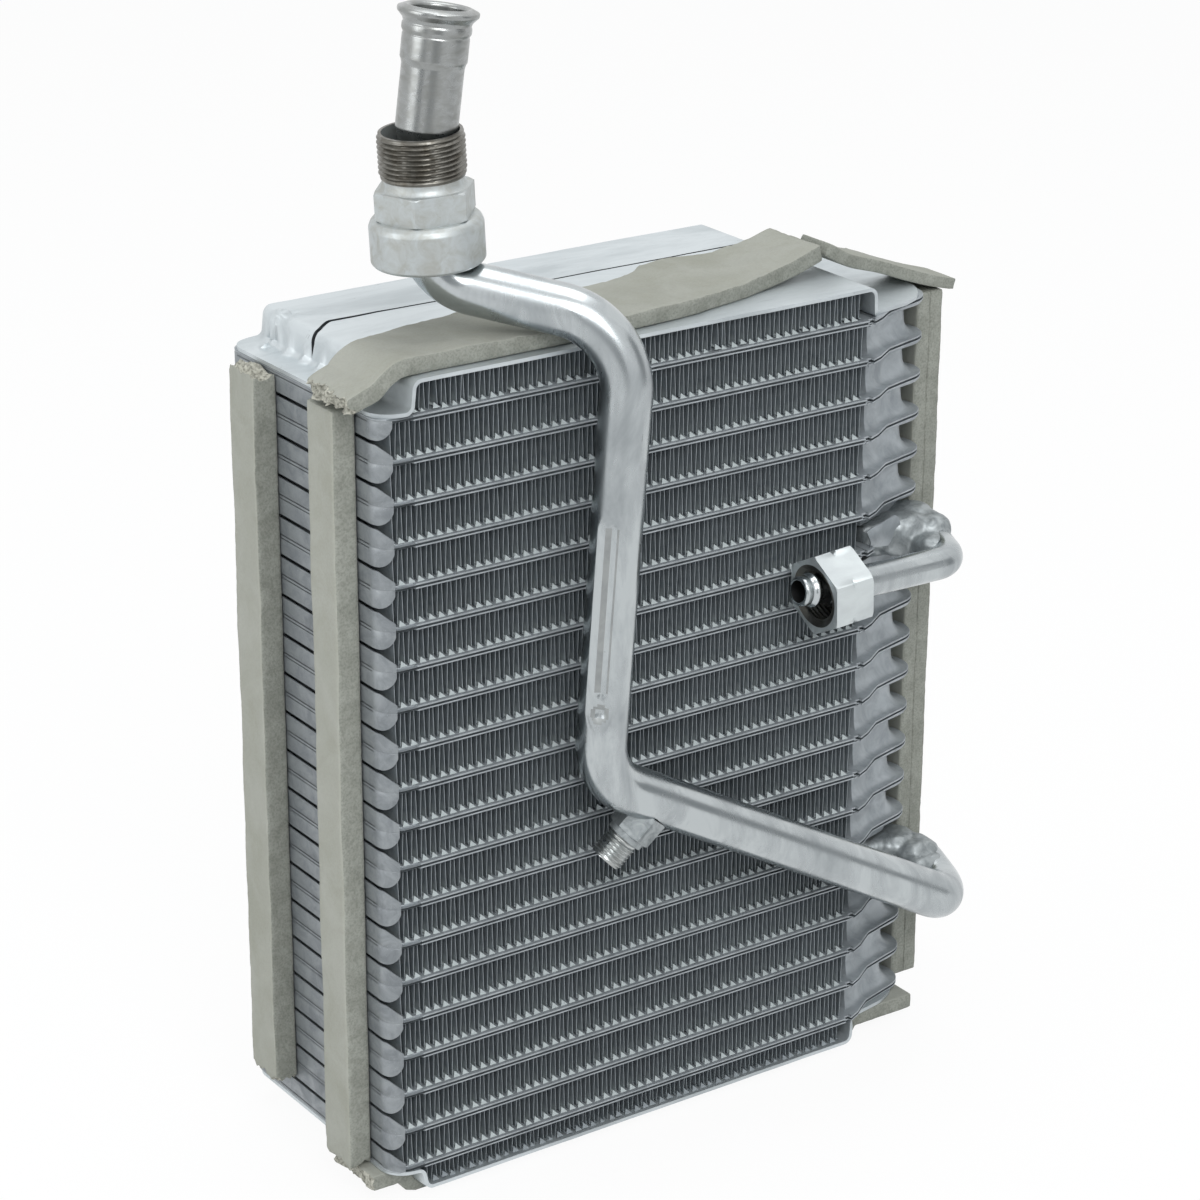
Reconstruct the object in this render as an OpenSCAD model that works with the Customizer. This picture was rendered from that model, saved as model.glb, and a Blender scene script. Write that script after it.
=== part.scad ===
// Evaporator core of the laminated kind: stamped tube plates with corrugated fins between them,
// brazed into one block, with sealing foam on its faces, a suction line and a liquid line.
// Origin: on the underside of the bottom foam, at the middle of the core's width and of the foam's.
// The tanks are at +X and the pipes at -Y.

/* [Core] */
// Number of tube plates, each a brazed pair of stamped sheets
plate_count = 20; // [18:1:20]
// Distance from one tube plate to the next
plate_pitch = 13; // [12.4:0.1:14]
// Thickness of a tube plate, both sheets and the passage between them
plate_t = 1.8; // [1.5:0.1:2.4]
// Thickness of one stamped sheet
sheet_t = 0.55; // [0.4:0.05:0.6]
// Depth of the core, front to back
core_d = 90; // [80:1:110]
// Width of the finned part
finned_w = 172.2; // [150:0.2:200]
// Length of the plates' plain end, left of the finned part
plain_end = 7.8; // [7.2:0.2:12]
// Length of the tank end, right of the finned part
tank_end = 35.6; // [34:0.2:40]

/* [Plate ends] */
// Radius of the plates' left corners
corner_r = 7; // [5:0.5:7]
// Gap between the upright tabs of two neighbouring plates
tab_gap = 1; // [0.6:0.1:2]
// Thickness of the upright tabs
tab_t = 0.6; // [0.4:0.1:1]
// Width of the notch between the finned part and the tank end
notch_w = 2.2; // [1.5:0.1:3]
// Depth of that notch
notch_d = 1.3; // [0.8:0.1:2]
// Length of the slanted web from the notch to the tank flange
web_run = 14.3; // [12:0.1:16]
// How far the tank flange stands behind the finned face at the end of the web
web_back = 6.9; // [5:0.1:7.5]
// How far the tank flange stands behind the finned face at its front
flange_back = 9.6; // [8:0.1:10]
// Radius of the tank flange's corners
flange_r = 10; // [8:0.5:10]

/* [Tank cups] */
// Length of a cup along its plate, at its waist
cup_l = 27.5; // [24:0.5:28]
// Width of a cup from front to back, at its waist
cup_w = 28; // [24:0.5:29]
// Radius of a cup's corners
cup_r = 8; // [6:0.5:10]
// Distance from the tank end's tip to a cup's waist
cup_inset = 4.75; // [4:0.25:6]
// Distance from the middle of the core to a cup's waist
cup_side = 3.5; // [3:0.1:5]
// Radius of the hollow that widens a cup where it meets its plate
flare_r = 3; // [1.5:0.1:3.2]

/* [Fins] */
// Length of one wave of the fins
wave = 3.35; // [3:0.05:5]
// Thickness of the fin sheet
fin_t = 0.2; // [0.12:0.02:0.3]
// Length of a wave's flat crest
crest = 1.1; // [0.8:0.05:1.2]
// How far the fins stand behind the plates' front edge
fin_back = 2.5; // [1.5:0.1:4]

/* [End plates] */
// Thickness of the end plates
end_t = 1.2; // [0.8:0.1:1.6]
// Height of the top panel above the highest tube plate's middle
top_rise = 11.5; // [9:0.1:13]
// Depth of the bottom panel below the lowest tube plate's middle
bottom_drop = 9; // [8:0.1:12]
// Distance from the finned part's ends to the panel's steps
step_in = 3.6; // [3:0.1:5]
// Slant of the panel's steps
step_slant = 0.8; // [0.4:0.1:1.2]
// Inner radius of the bends between the panel, its steps and the flanges
bend_r = 1.5; // [0.8:0.1:2]
// How far the slit runs down the left step
slit_drop = 6.5; // [3:0.5:7]
// Distance of the slit in the top panel from its back edge
slit_back = 26; // [20:1:32]
// Width of the slit
slit_w = 0.8; // [0.5:0.1:1.2]

/* [Foam] */
// Thickness of the foam strips on the left
left_foam_t = 8; // [6:0.5:10]
// Thickness of the foam strips on the right
right_foam_t = 10.5; // [8:0.5:12]
// Width of the side strips
strip_w = 15; // [12:0.5:18]
// Distance of the left front strip from the front edge
left_front_in = 13; // [11:0.5:16]
// Distance of the left back strip from the back edge
left_back_in = 15.8; // [12:0.5:18]
// Distance of the right strips from the front and back edges
right_strip_in = 19.6; // [18:0.2:23]
// Thickness of the top foam
top_foam_t = 5.2; // [4:0.1:6]
// Thickness of the foam over the top right end
end_foam_t = 4.2; // [3:0.1:5]
// Width of the bottom foam
bottom_foam_w = 23; // [18:0.5:30]
// Distance of the bottom foam from the front edge
bottom_foam_in = 6; // [3:0.5:12]
// Thickness of the bottom foam where it lies free
bottom_foam_t = 5.3; // [4.5:0.1:6.2]
// Thickness of the bottom foam where the core stands on it
pressed_foam_t = 3.5; // [2.5:0.1:4]
// Gap between the foam and the metal
foam_gap = 0.2; // [0.1:0.05:0.4]

/* [Suction line] */
// Outer diameter of the suction pipe
suction_d = 15.88; // [14:0.1:16]
// Wall of the suction pipe
suction_wall = 1.2; // [0.8:0.1:1.6]
// Outer diameter of the pipe's swaged end
swage_d = 18.4; // [17:0.1:18.8]
// Outer diameter of the spigot above it
spigot_d = 19.7; // [19:0.1:20.4]
// Outer diameter of the end's lip
lip_d = 23.9; // [22:0.1:25]
// Height of the swaged end above the pipe, lip included
suction_end_h = 51; // [48:0.5:56]

/* [Suction nut] */
// Outer diameter of the male thread
thread_d = 26; // [25:0.1:27]
// Length of the male thread
thread_l = 15.2; // [12:0.1:17]
// Width across the flats of the hexagon
nut_flats = 27; // [26:0.5:28.5]
// Height of the hexagon
nut_hex_h = 8.1; // [6:0.1:9]
// Outer diameter of the skirt
skirt_d = 34; // [32:0.5:36]
// Height of the skirt
skirt_h = 13; // [11:0.5:14]
// Inner diameter of the threaded part
nut_bore_d = 23; // [22.6:0.1:23.4]
// Inner diameter of the skirt
skirt_bore_d = 29; // [28:0.5:30]

/* [Service port] */
// Outer diameter of the port's thread
port_thread_d = 11.1; // [10:0.1:12]
// Length of the port's thread
port_thread_l = 9; // [7:0.1:10]
// Width across the flats of the port's body
port_flats = 13; // [12:0.1:14]
// Distance from the pipe's centre line to the port's open end
port_reach = 25; // [23:0.1:25.5]
// Diameter of the valve core
core_valve_d = 5; // [4:0.1:6]
// Length of the valve core
core_valve_l = 10; // [8:0.5:12]
// How deep the valve core sits in the port's mouth
core_valve_in = 2; // [1:0.1:3]
// Diameter of the valve's pin
pin_d = 1.2; // [0.8:0.1:1.6]

/* [Liquid line] */
// Outer diameter of the liquid pipe
liquid_d = 9.6; // [8:0.1:10]
// Wall of the liquid pipe
liquid_wall = 1.2; // [0.8:0.1:1.4]
// Outer diameter of the bead that holds the nut on the pipe
bead_d = 12.6; // [12.4:0.1:13]
// Length of the liquid nut
liquid_nut_l = 14.6; // [13:0.1:16]
// Width across the flats of the liquid nut
liquid_nut_flats = 23.4; // [22:0.2:24]
// Inner diameter of the nut's threaded end
liquid_bore_d = 17; // [16.6:0.1:18]
// Inner diameter of the nut's back wall
liquid_back_d = 11.8; // [11.4:0.1:12]

/* [Hidden] */
$fn = 48;
eps = 0.01;
far = 400;

// A bend's tube draws thin by this much in radius, and the straight runs lap it by that much
bend_draw = 0.02;
bend_lap = 0.1;

// A flare starts this far below its plate's face and stands off its cup's wall by this much
flare_root = 0.15;
flare_step = 0.05;

// Places that follow from the sizes above
half_w = (plain_end + finned_w + tank_end) / 2;
half_d = core_d / 2;
fin_x0 = -half_w + plain_end;
fin_x1 = fin_x0 + finned_w;
top_z = bottom_drop + (plate_count - 1) * plate_pitch;
panel_z = top_z + top_rise;
tab_h = plate_pitch - tab_gap;
cup_x = half_w - cup_inset - cup_l / 2;
cup_y = cup_side + cup_w / 2;
passage_h = plate_t - 2 * sheet_t;
foam_mid_y = -half_d + bottom_foam_in + bottom_foam_w / 2;
function plate_z(number) = top_z - (number - 1) * plate_pitch;

// The plates that carry the two lines in place of their front cup
liquid_plate = 7;
suction_plate = 16;

// Names of the nodes that repeat
plate_nodes = [for (k = [1 : 20]) str("tube_plate_", k < 10 ? "0" : "", k)];
fin_nodes = [for (k = [1 : 21]) str("fin_", k < 10 ? "0" : "", k)];

// Metal and foam colours
bare_aluminium = "#C9CFD0";
fin_aluminium = "#5C646A";
plated_steel = "#A9A9A6";
grey_foam = "#9F9F8E";

// Vectors and arcs
function unit(v) = v / norm(v);
function arc(centre, r, from, to, steps) =
    [for (k = [0 : steps]) centre + r * [cos(from + (to - from) * k / steps), sin(from + (to - from) * k / steps)]];
function mirrored(points) = [for (k = [len(points) - 1 : -1 : 0]) [points[k][0], -points[k][1]]];
function turn(a, b, c) = acos(unit(b - a) * unit(c - b));
function tangent_length(a, b, c, r) = r * tan(turn(a, b, c) / 2);

// Puts its children's +Z along a direction, from a point
module along(point, direction) {
    z = unit(direction);
    x = unit(abs(z[2]) < 0.9 ? cross([0, 0, 1], z) : cross([0, 1, 0], z));
    y = cross(z, x);
    multmatrix([
        [x[0], y[0], z[0], point[0]],
        [x[1], y[1], z[1], point[1]],
        [x[2], y[2], z[2], point[2]],
        [0, 0, 0, 1]
    ])
        children();
}

// Round bar through the corner between two straight runs, a trace slimmer than they are
module bend(a, b, c, bend_r, r) {
    u = unit(b - a);
    v = unit(c - b);
    inward = unit(v - (v * u) * u);
    start = b - u * tangent_length(a, b, c, bend_r);
    centre = start + inward * bend_r;
    x = -inward;
    z = cross(x, u);
    multmatrix([
        [x[0], u[0], z[0], centre[0]],
        [x[1], u[1], z[1], centre[1]],
        [x[2], u[2], z[2], centre[2]],
        [0, 0, 0, 1]
    ])
        rotate_extrude(angle = turn(a, b, c))
            translate([bend_r, 0])
                circle(r = r - bend_draw);
}

// Round bar along a route of straight runs, each corner rounded by its own bend radius
module bar_along(route, bends, r, over = 0) {
    last = len(route) - 1;
    for (k = [0 : last - 1]) {
        a = route[k];
        b = route[k + 1];
        cut_a = k == 0 ? -over : tangent_length(route[k - 1], a, b, bends[k - 1]) - bend_lap;
        cut_b = k + 1 == last ? -over : tangent_length(a, b, route[k + 2], bends[k]) - bend_lap;
        along(a + unit(b - a) * cut_a, b - a)
            cylinder(h = norm(b - a) - cut_a - cut_b, r = r);
    }
    if (last > 1)
        for (k = [1 : last - 1])
            bend(route[k - 1], route[k], route[k + 1], bends[k - 1], r);
}

module tube_along(route, bends, outer_d, wall) {
    difference() {
        bar_along(route, bends, outer_d / 2);
        bar_along(route, bends, outer_d / 2 - wall, eps);
    }
}

// Outline of a tube plate seen from above; the back is the front mirrored
function plate_front() = concat(
    arc([-half_w + corner_r, -half_d + corner_r], corner_r, 180, 270, 6),
    [[fin_x1 + notch_w, -half_d], [fin_x1 + notch_w + 3.3, -half_d + 1.4]],
    [[fin_x1 + web_run, -half_d + web_back]],
    arc([half_w - flange_r, -half_d + flange_back + flange_r], flange_r, -80, 0, 6),
    arc([half_w - valley_r, -valley_half - valley_r], valley_r, 0, 90, 4)
);
// Half width and depth of the valley between the two tank flanges
valley_half = 5;
valley_r = 5;

module plate_outline() {
    polygon(concat(plate_front(), mirrored(plate_front())));
}

// Upright tab that closes a plate's left end, as high as the pitch allows, and none of it past an end plate
module end_tab(low, high) {
    tab_sweep = 70;
    front = [-half_w + corner_r, -half_d + corner_r];
    wall = concat(
        arc(front, corner_r, 180 + tab_sweep, 180, 6),
        mirrored(arc(front, corner_r, 180 + tab_sweep, 180, 6)),
        mirrored(mirrored(mirrored(arc(front, corner_r - tab_t, 180, 180 + tab_sweep, 6)))),
        arc(front, corner_r - tab_t, 180, 180 + tab_sweep, 6)
    );
    end_r = tab_h / 2;
    end_y = half_d - end_r - 0.8;
    below = low ? end_r : plate_t / 2;
    above = high ? end_r : plate_t / 2;
    intersection() {
        translate([0, 0, -below])
            linear_extrude(below + above)
                polygon(wall);
        translate([-half_w - 1, 0, 0])
            rotate([90, 0, 90])
                linear_extrude(corner_r + 1) {
                    square([2 * end_y, tab_h], center = true);
                    for (side = [-1, 1])
                        translate([side * end_y, 0])
                            circle(r = end_r);
                }
    }
}

// Upright bar with round corners, the shape of a tank cup, less a wall where it is the hollow
module cup_bar(less, z0, z1) {
    x = cup_l / 2 - cup_r;
    y = cup_w / 2 - cup_r;
    r = cup_r - less;
    for (sx = [-1, 1], sy = [-1, 1])
        translate([sx * x, sy * y, z0])
            cylinder(h = z1 - z0, r = r);
    translate([-x, -y - r, z0])
        cube([2 * x, 2 * (y + r), z1 - z0]);
    translate([-x - r, -y, z0])
        cube([2 * (x + r), 2 * y, z1 - z0]);
}

// Half of a flare's section, from the middle of a round corner out, and the whole of a straight side's
module flare_half() {
    difference() {
        square([cup_r + flare_r, flare_r]);
        translate([cup_r + flare_r + flare_step, flare_r])
            circle(r = flare_r);
    }
}
module flare_whole(half) {
    difference() {
        translate([-half - flare_r, 0])
            square([2 * (half + flare_r), flare_r]);
        for (side = [-1, 1])
            translate([side * (half + flare_r + flare_step), flare_r])
                circle(r = flare_r);
    }
}

// Hollow-sided widening of a cup towards its plate, rooted a trace below the plate's face
module cup_flare() {
    x = cup_l / 2 - cup_r;
    y = cup_w / 2 - cup_r;
    translate([0, 0, plate_t / 2 - flare_root]) {
        for (sx = [-1, 1], sy = [-1, 1])
            translate([sx * x, sy * y, 0])
                rotate_extrude()
                    flare_half();
        rotate([90, 0, 90])
            linear_extrude(2 * x, center = true)
                flare_whole(y + cup_r);
        rotate([90, 0, 0])
            linear_extrude(2 * y, center = true)
                flare_whole(x + cup_r);
    }
}

// One cup of a plate, with the flares that join it to the sheets
module cup(low, high) {
    cup_bar(0, low ? -plate_pitch / 2 : -plate_t / 2, high ? plate_pitch / 2 : plate_t / 2);
    if (high)
        cup_flare();
    if (low)
        mirror([0, 0, 1])
            cup_flare();
}

// Flat passage inside a plate: out along the front half, round the rib's end and back
module passage() {
    edge = 6;
    rib_half = 1.5;
    rib_end = fin_x0 + 20;
    x0 = -half_w + edge;
    y1 = half_d - edge;
    linear_extrude(passage_h, center = true)
        polygon([
            [x0, -y1], [fin_x1, -y1], [cup_x, -cup_y], [cup_x, -rib_half], [rib_end, -rib_half],
            [rib_end, rib_half], [cup_x, rib_half], [cup_x, cup_y], [fin_x1, y1], [x0, y1]
        ]);
}

module tube_plate(number) {
    low = number < plate_count;
    high = number > 1;
    port = number == liquid_plate || number == suction_plate;
    wall = sheet_t;
    seam_h = 0.5;
    seam_d = 1.1;
    color(bare_aluminium)
        translate([0, 0, plate_z(number)])
            difference() {
                union() {
                    linear_extrude(plate_t, center = true)
                        plate_outline();
                    end_tab(low, high);
                    translate([cup_x, cup_y, 0])
                        cup(low, high);
                    if (!port)
                        translate([cup_x, -cup_y, 0])
                            cup(low, high);
                }
                passage();
                for (side = port ? [1] : [-1, 1])
                    translate([cup_x, side * cup_y, 0])
                        cup_bar(
                            wall,
                            low ? -plate_pitch : -passage_h / 2,
                            high ? plate_pitch : passage_h / 2
                        );
                for (side = [-1, 1]) {
                    translate([fin_x1 + notch_w / 2, side * half_d, 0])
                        cube([notch_w, 2 * notch_d, plate_pitch], center = true);
                    translate([(fin_x0 + fin_x1) / 2, side * half_d, 0])
                        cube([finned_w - 2, 2 * seam_d, seam_h], center = true);
                }
                if (port)
                    port_cutaway();
            }
}

// Part of a plate's front tank flange that makes room for a line's boss
module port_cutaway() {
    translate([cup_x, -cup_y, 0])
        cup_bar(0, -plate_pitch, plate_pitch);
    translate([cup_x - cup_l / 2 - 3, -half_d - 1, -plate_pitch / 2])
        cube([far, half_d + 1 - cup_y + cup_w / 2 - cup_r, plate_pitch]);
}

// Section of a corrugated fin: the sheet's upper face one way, its lower face back
function fin_section(x0, x1, h) =
    let (
        half = wave / 2,
        count = floor((x1 - x0) / half),
        wide = (crest + fin_t) / 2,
        slim = (crest - fin_t) / 2,
        upper = [
            for (k = [0 : count - 1], side = [-1, 1])
                let (x = x0 + (k + 0.5) * half, up = k % 2 == 0)
                    [x + side * (up ? wide : slim), up ? h / 2 : -h / 2 + fin_t]
        ],
        lower = [
            for (k = [count - 1 : -1 : 0], side = [1, -1])
                let (x = x0 + (k + 0.5) * half, up = k % 2 == 0)
                    [x + side * (up ? slim : wide), up ? h / 2 - fin_t : -h / 2]
        ]
    )
    concat(upper, lower);

// A fin between two heights and two ends
module fin_between(x0, x1, z0, z1) {
    color(fin_aluminium)
        translate([0, 0, (z0 + z1) / 2])
            rotate([90, 0, 0])
                linear_extrude(core_d - 2 * fin_back, center = true)
                    polygon(fin_section(x0, x1, z1 - z0));
}

module fin(number) {
    shy = 1.2;
    if (number == 1)
        fin_between(fin_x0 + step_in + end_t + shy, fin_x1 - shy, top_z + plate_t / 2, panel_z - end_t);
    else if (number > plate_count)
        fin_between(fin_x0 + step_in + end_t + shy, fin_x1 - shy, end_t, bottom_drop - plate_t / 2);
    else
        fin_between(
            -half_w + tab_t + 2.8,
            fin_x1 - shy,
            plate_z(number) + plate_t / 2,
            plate_z(number - 1) - plate_t / 2
        );
}

// Plan of an end plate: round left corners and a right end that follows the tank flange
module end_plate_plan() {
    front = concat(
        arc([-half_w + corner_r + 2, -half_d + corner_r + 2], corner_r + 2, 180, 270, 6),
        [[fin_x1 + notch_w, -half_d]],
        [[half_w - flange_r - 4, -half_d + flange_back - 3.5]],
        arc([half_w - flange_r, -half_d + flange_back + flange_r - 2], flange_r, -75, 0, 6)
    );
    polygon(concat(front, mirrored(front)));
}

// Section of an end plate seen from the front: flange, step, raised panel, step, flange
module end_plate_section(rise) {
    outer = bend_r + end_t;
    top_z = rise - outer;
    foot_l = [fin_x0 + step_in - outer, outer];
    foot_r = [fin_x1 + step_in + outer, outer];
    top_l = [fin_x0 + step_in + step_slant + bend_r, top_z];
    top_r = [fin_x1 + step_in - step_slant - bend_r, top_z];
    polygon(concat(
        [[-half_w, 0]],
        arc(foot_l, outer, 270, 360, 4), arc(top_l, bend_r, 180, 90, 4),
        arc(top_r, bend_r, 90, 0, 4), arc(foot_r, outer, 180, 270, 4),
        [[half_w, 0], [half_w, end_t]],
        arc(foot_r, bend_r, 270, 180, 4), arc(top_r, outer, 0, 90, 4),
        arc(top_l, outer, 90, 180, 4), arc(foot_l, bend_r, 360, 270, 4),
        [[-half_w, end_t]]
    ));
}

module end_plate(rise) {
    intersection() {
        rotate([90, 0, 0])
            linear_extrude(core_d, center = true)
                end_plate_section(rise);
        linear_extrude(rise)
            end_plate_plan();
    }
}

module top_end_plate() {
    slit_x0 = fin_x0 + step_in - end_t;
    slit_x1 = fin_x1 - end_t;
    color(bare_aluminium)
        difference() {
            translate([0, 0, top_z + plate_t / 2])
                end_plate(top_rise - plate_t / 2);
            translate([slit_x0 + 1, half_d - slit_back, panel_z - end_t - 1])
                cube([slit_x1 - slit_x0, slit_w, end_t + 2]);
            translate([slit_x0 - 1, half_d - slit_back, panel_z - slit_drop])
                cube([bend_r + 2 * end_t + 1, slit_w, slit_drop + 1]);
        }
}

module bottom_end_plate() {
    color(bare_aluminium)
        translate([0, 0, bottom_drop - plate_t / 2])
            mirror([0, 0, 1])
                end_plate(bottom_drop - plate_t / 2);
}

// Upright foam strip on a side of the core
module side_strip(x, y, t, z0, z1) {
    color(grey_foam)
        translate([x, y, z0])
            cube([t, strip_w, z1 - z0]);
}

// Heights where the side strips end
strip_top = top_z + plate_t / 2 + end_t;
left_front_low = 6.8;
left_back_low = 16;

module foam_left_front() {
    side_strip(
        -half_w - foam_gap - left_foam_t, -half_d + left_front_in, left_foam_t,
        left_front_low, strip_top + foam_gap / 2
    );
}

module foam_left_back() {
    side_strip(
        -half_w - foam_gap - left_foam_t, half_d - left_back_in - strip_w, left_foam_t,
        left_back_low, strip_top - 1
    );
}

module foam_right_front() {
    difference() {
        side_strip(
            half_w + foam_gap, -half_d + right_strip_in, right_foam_t,
            left_front_low + 0.4, strip_top - 3.2
        );
        along(suction_route[0], suction_route[1] - suction_route[0])
            cylinder(h = 20, r = suction_boss_r + foam_gap);
        along(liquid_route[0], liquid_route[1] - liquid_route[0])
            cylinder(h = 20, r = liquid_boss_r + foam_gap);
    }
}

module foam_right_back() {
    side_strip(
        half_w + foam_gap, half_d - right_strip_in - strip_w, right_foam_t,
        left_front_low + 0.4, strip_top - 1
    );
}

// Foam along the top's front edge: draped over the left step, lifted at its right end
module foam_top() {
    base = panel_z + foam_gap;
    t = top_foam_t;
    step_x = fin_x0 + step_in - end_t;
    low = strip_top + foam_gap;
    lift_x = fin_x1 - 29;
    end_x = fin_x1 - 3.4;
    lift = 4.3;
    hang = 10.6;
    color(grey_foam)
        intersection() {
            rotate([90, 0, 0])
                linear_extrude(far, center = true)
                    polygon([
                        [-half_w - hang, low], [step_x - 10, low], [step_x - 2.4, low + 2],
                        [step_x - 0.4, base], [lift_x, base], [end_x, base + lift],
                        [end_x, base + lift + t], [lift_x, base + t], [step_x + 6.5, base + t],
                        [step_x - 3.5, base + 0.5], [-half_w, low + t], [-half_w - hang, low + t]
                    ]);
            linear_extrude(far)
                polygon([
                    [-half_w - hang, -half_d + 1], [fin_x0 + 8, -half_d + 3.5], [fin_x0 + 74, -half_d + 4],
                    [fin_x0 + 110, -half_d + 7], [fin_x0 + 143, -half_d + 15], [end_x, -half_d + 20],
                    [end_x, -half_d + 47], [fin_x0 + 118, -half_d + 43], [fin_x0 + 96, -half_d + 38.5],
                    [fin_x0 + 32, -half_d + 35], [fin_x0 + 18, -half_d + 30], [-half_w - hang, -half_d + 24]
                ]);
        }
}

// Foam that arches from the top foam's lifted end down over the tanks
module foam_top_right() {
    x0 = fin_x1 - 3.4 + foam_gap;
    z0 = panel_z + 6;
    t = end_foam_t;
    tip_x = half_w + right_foam_t + 5;
    tip_z = strip_top - 4.4;
    back = [[10, -5.2], [22, -9], [33, -13.2]];
    over = [for (p = back) [x0 + p[0], z0 + p[1]]];
    color(grey_foam)
        translate([0, -half_d + right_strip_in, 0])
            rotate([90, 0, 180])
                mirror([1, 0, 0])
                    linear_extrude(strip_w)
                        polygon(concat(
                            [[x0, z0]], over, [[tip_x, tip_z]],
                            [[tip_x + 0.8, tip_z + t - 0.8]], [for (k = [2 : -1 : 0]) over[k] + [0.8, t]],
                            [[x0 + 0.4, z0 + t]]
                        ));
}

// Foam under the front of the bottom end plate, which the core stands on
module foam_bottom() {
    flange_z = bottom_drop - plate_t / 2 - end_t - foam_gap;
    left = fin_x0 + step_in - end_t - 0.3;
    right = fin_x1 + step_in + end_t + 0.3;
    left_tip = -half_w - 4.8;
    right_tip = half_w - 1.8;
    t = bottom_foam_t;
    p = pressed_foam_t;
    color(grey_foam)
        translate([0, foam_mid_y, 0])
            rotate([90, 0, 0])
                linear_extrude(bottom_foam_w, center = true)
                    polygon([
                        [left_tip, flange_z - t], [left - 2, flange_z - t], [left + 1, -p], [right - 1, -p],
                        [right + 2, flange_z - t], [right_tip, flange_z - t], [right_tip, flange_z],
                        [right + bend_r, flange_z], [right, flange_z - bend_r],
                        [right - step_slant, -foam_gap], [left + step_slant, -foam_gap],
                        [left, flange_z - bend_r], [left - bend_r, flange_z], [left_tip, flange_z]
                    ]);
}

// Suction line: the route's corners and its bend radii, from the tank to the upright end
suction_r = suction_d / 2;
suction_boss_r = suction_r + 0.9;
line_out = 13;
line_y = -half_d - line_out;
suction_z = plate_z(suction_plate);
leg_slope = 0.567;
leg_drop = 10.2;
leg_x = half_w - 2.8;
leg_z = suction_z - leg_drop;
low_x = fin_x0 + 60;
arch_rise = 9.5;
neck_rise = 20.5;
upright_rise = 42.5;
end_rise = 50.5;
upright_x = fin_x0 + 22.9;
upright_y = -half_d + 25;
suction_route = [
    [cup_x + 9.8, -cup_y - 6.5, suction_z - 1.6],
    [half_w + 1.2, -cup_y - 18.5, suction_z - 4.2],
    [leg_x, line_y, leg_z],
    [low_x, line_y - 0.5, leg_z + leg_slope * (leg_x - low_x)],
    [low_x + 9, line_y - 3, panel_z + arch_rise],
    [upright_x + 3.6, upright_y - 1, panel_z + neck_rise],
    [upright_x - 1.1, upright_y, panel_z + upright_rise],
    [upright_x, upright_y, panel_z + end_rise]
];
suction_bends = [10, 11, 20, 24, 17, 20];
suction_end_at = suction_route[len(suction_route) - 1];
suction_end_dir = suction_end_at - suction_route[len(suction_route) - 2];

// Where each line starts along its boss's spout, the clearance that the braze fills, and a boss's own from a plate
suction_seat = 7.5;
liquid_seat = 4;
braze_gap = 0.03;
seat_gap = 0.3;

module suction_boss() {
    start = suction_route[0];
    way = suction_route[1] - start;
    boss(suction_plate, start, way, suction_seat, suction_r, suction_wall, suction_boss_r + 0.6, suction_boss_r - 0.4, 11);
}

// Cup-shaped boss that takes the place of a plate's front cup, with a spout for the end of a line.
// The spout is as flat as the boss near the plates, and round beyond their cups but for a flat over the plate below.
module boss(number, start, way, seat, r, wall, root_r, tip_r, reach) {
    root = 5;
    free = 8;
    bead = 0.3;
    bore_r = min(r - wall, plate_pitch / 2 - 1.2);
    free_r = root_r + (tip_r - root_r) * (root + free) / (root + reach);
    step = unit(way);
    color(bare_aluminium)
        difference() {
            union() {
                translate([cup_x, -cup_y, plate_z(number)])
                    cup_bar(0, -plate_pitch / 2, plate_pitch / 2);
                intersection() {
                    along(start - step * root, way)
                        cylinder(h = root + reach, r1 = root_r, r2 = tip_r);
                    translate([cup_x, -cup_y, plate_z(number)])
                        cube([2.5 * cup_w, 2.5 * cup_w, plate_pitch], center = true);
                }
                intersection() {
                    along(start + step * free, way)
                        cylinder(h = reach - free, r1 = free_r + bead, r2 = tip_r + bead);
                    translate([cup_x, -cup_y, plate_z(number)])
                        cube([2.5 * cup_w, 2.5 * cup_w, 2 * plate_pitch - plate_t - 2 * seat_gap], center = true);
                }
            }
            translate([cup_x, -cup_y, plate_z(number)])
                cup_bar(sheet_t, -plate_pitch, plate_pitch);
            along(start - step * (root + 3), way)
                cylinder(h = 20, r = bore_r);
            along(start + step * seat, way)
                cylinder(h = 20, r = r + braze_gap);
        }
}

module suction_pipe() {
    start = suction_route[0];
    way = unit(suction_route[1] - start);
    route = [for (k = [0 : len(suction_route) - 1]) k == 0 ? start + way * suction_seat : suction_route[k]];
    color(bare_aluminium)
        difference() {
            tube_along(route, suction_bends, suction_d, suction_wall);
            along(port_at, port_dir)
                cylinder(h = suction_r + 1, r = core_valve_d / 2);
        }
}

// Swaged upright end of the suction line, with the lip that seals in the next fitting
module suction_end() {
    r = suction_r;
    h = suction_end_h - 1;
    bore = suction_r - suction_wall;
    sw = swage_d / 2;
    sp = spigot_d / 2;
    lip = lip_d / 2;
    wall = suction_wall;
    mouth = sp - wall - 0.6;
    color(bare_aluminium)
        along(suction_end_at, suction_end_dir)
            rotate_extrude()
                polygon([
                    [bore, 0], [r, 0], [r, h - 38], [sw, h - 34.5], [sw, h - 16.8], [sw - 0.7, h - 15.8],
                    [sp, h - 13.8], [sp, h - 8], [sp - 0.7, h - 7.4], [sp + 0.5, h - 5.6], [sp - 0.4, h - 3.4],
                    [lip, h - 1.2], [lip, h], [lip - 2.4, h + 1], [mouth + 0.4, h + 0.6], [mouth, h],
                    [mouth, h - 17], [sw - wall, h - 20], [sw - wall, h - 34], [bore, h - 37.6]
                ]);
}

// Captive nut of the suction line: skirt, hexagon and male thread on one tilted axis
nut_rise = 26.3;
nut_at = [upright_x + 2.3, upright_y, panel_z + nut_rise];
nut_dir = [-0.058, 0, 1];

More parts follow.
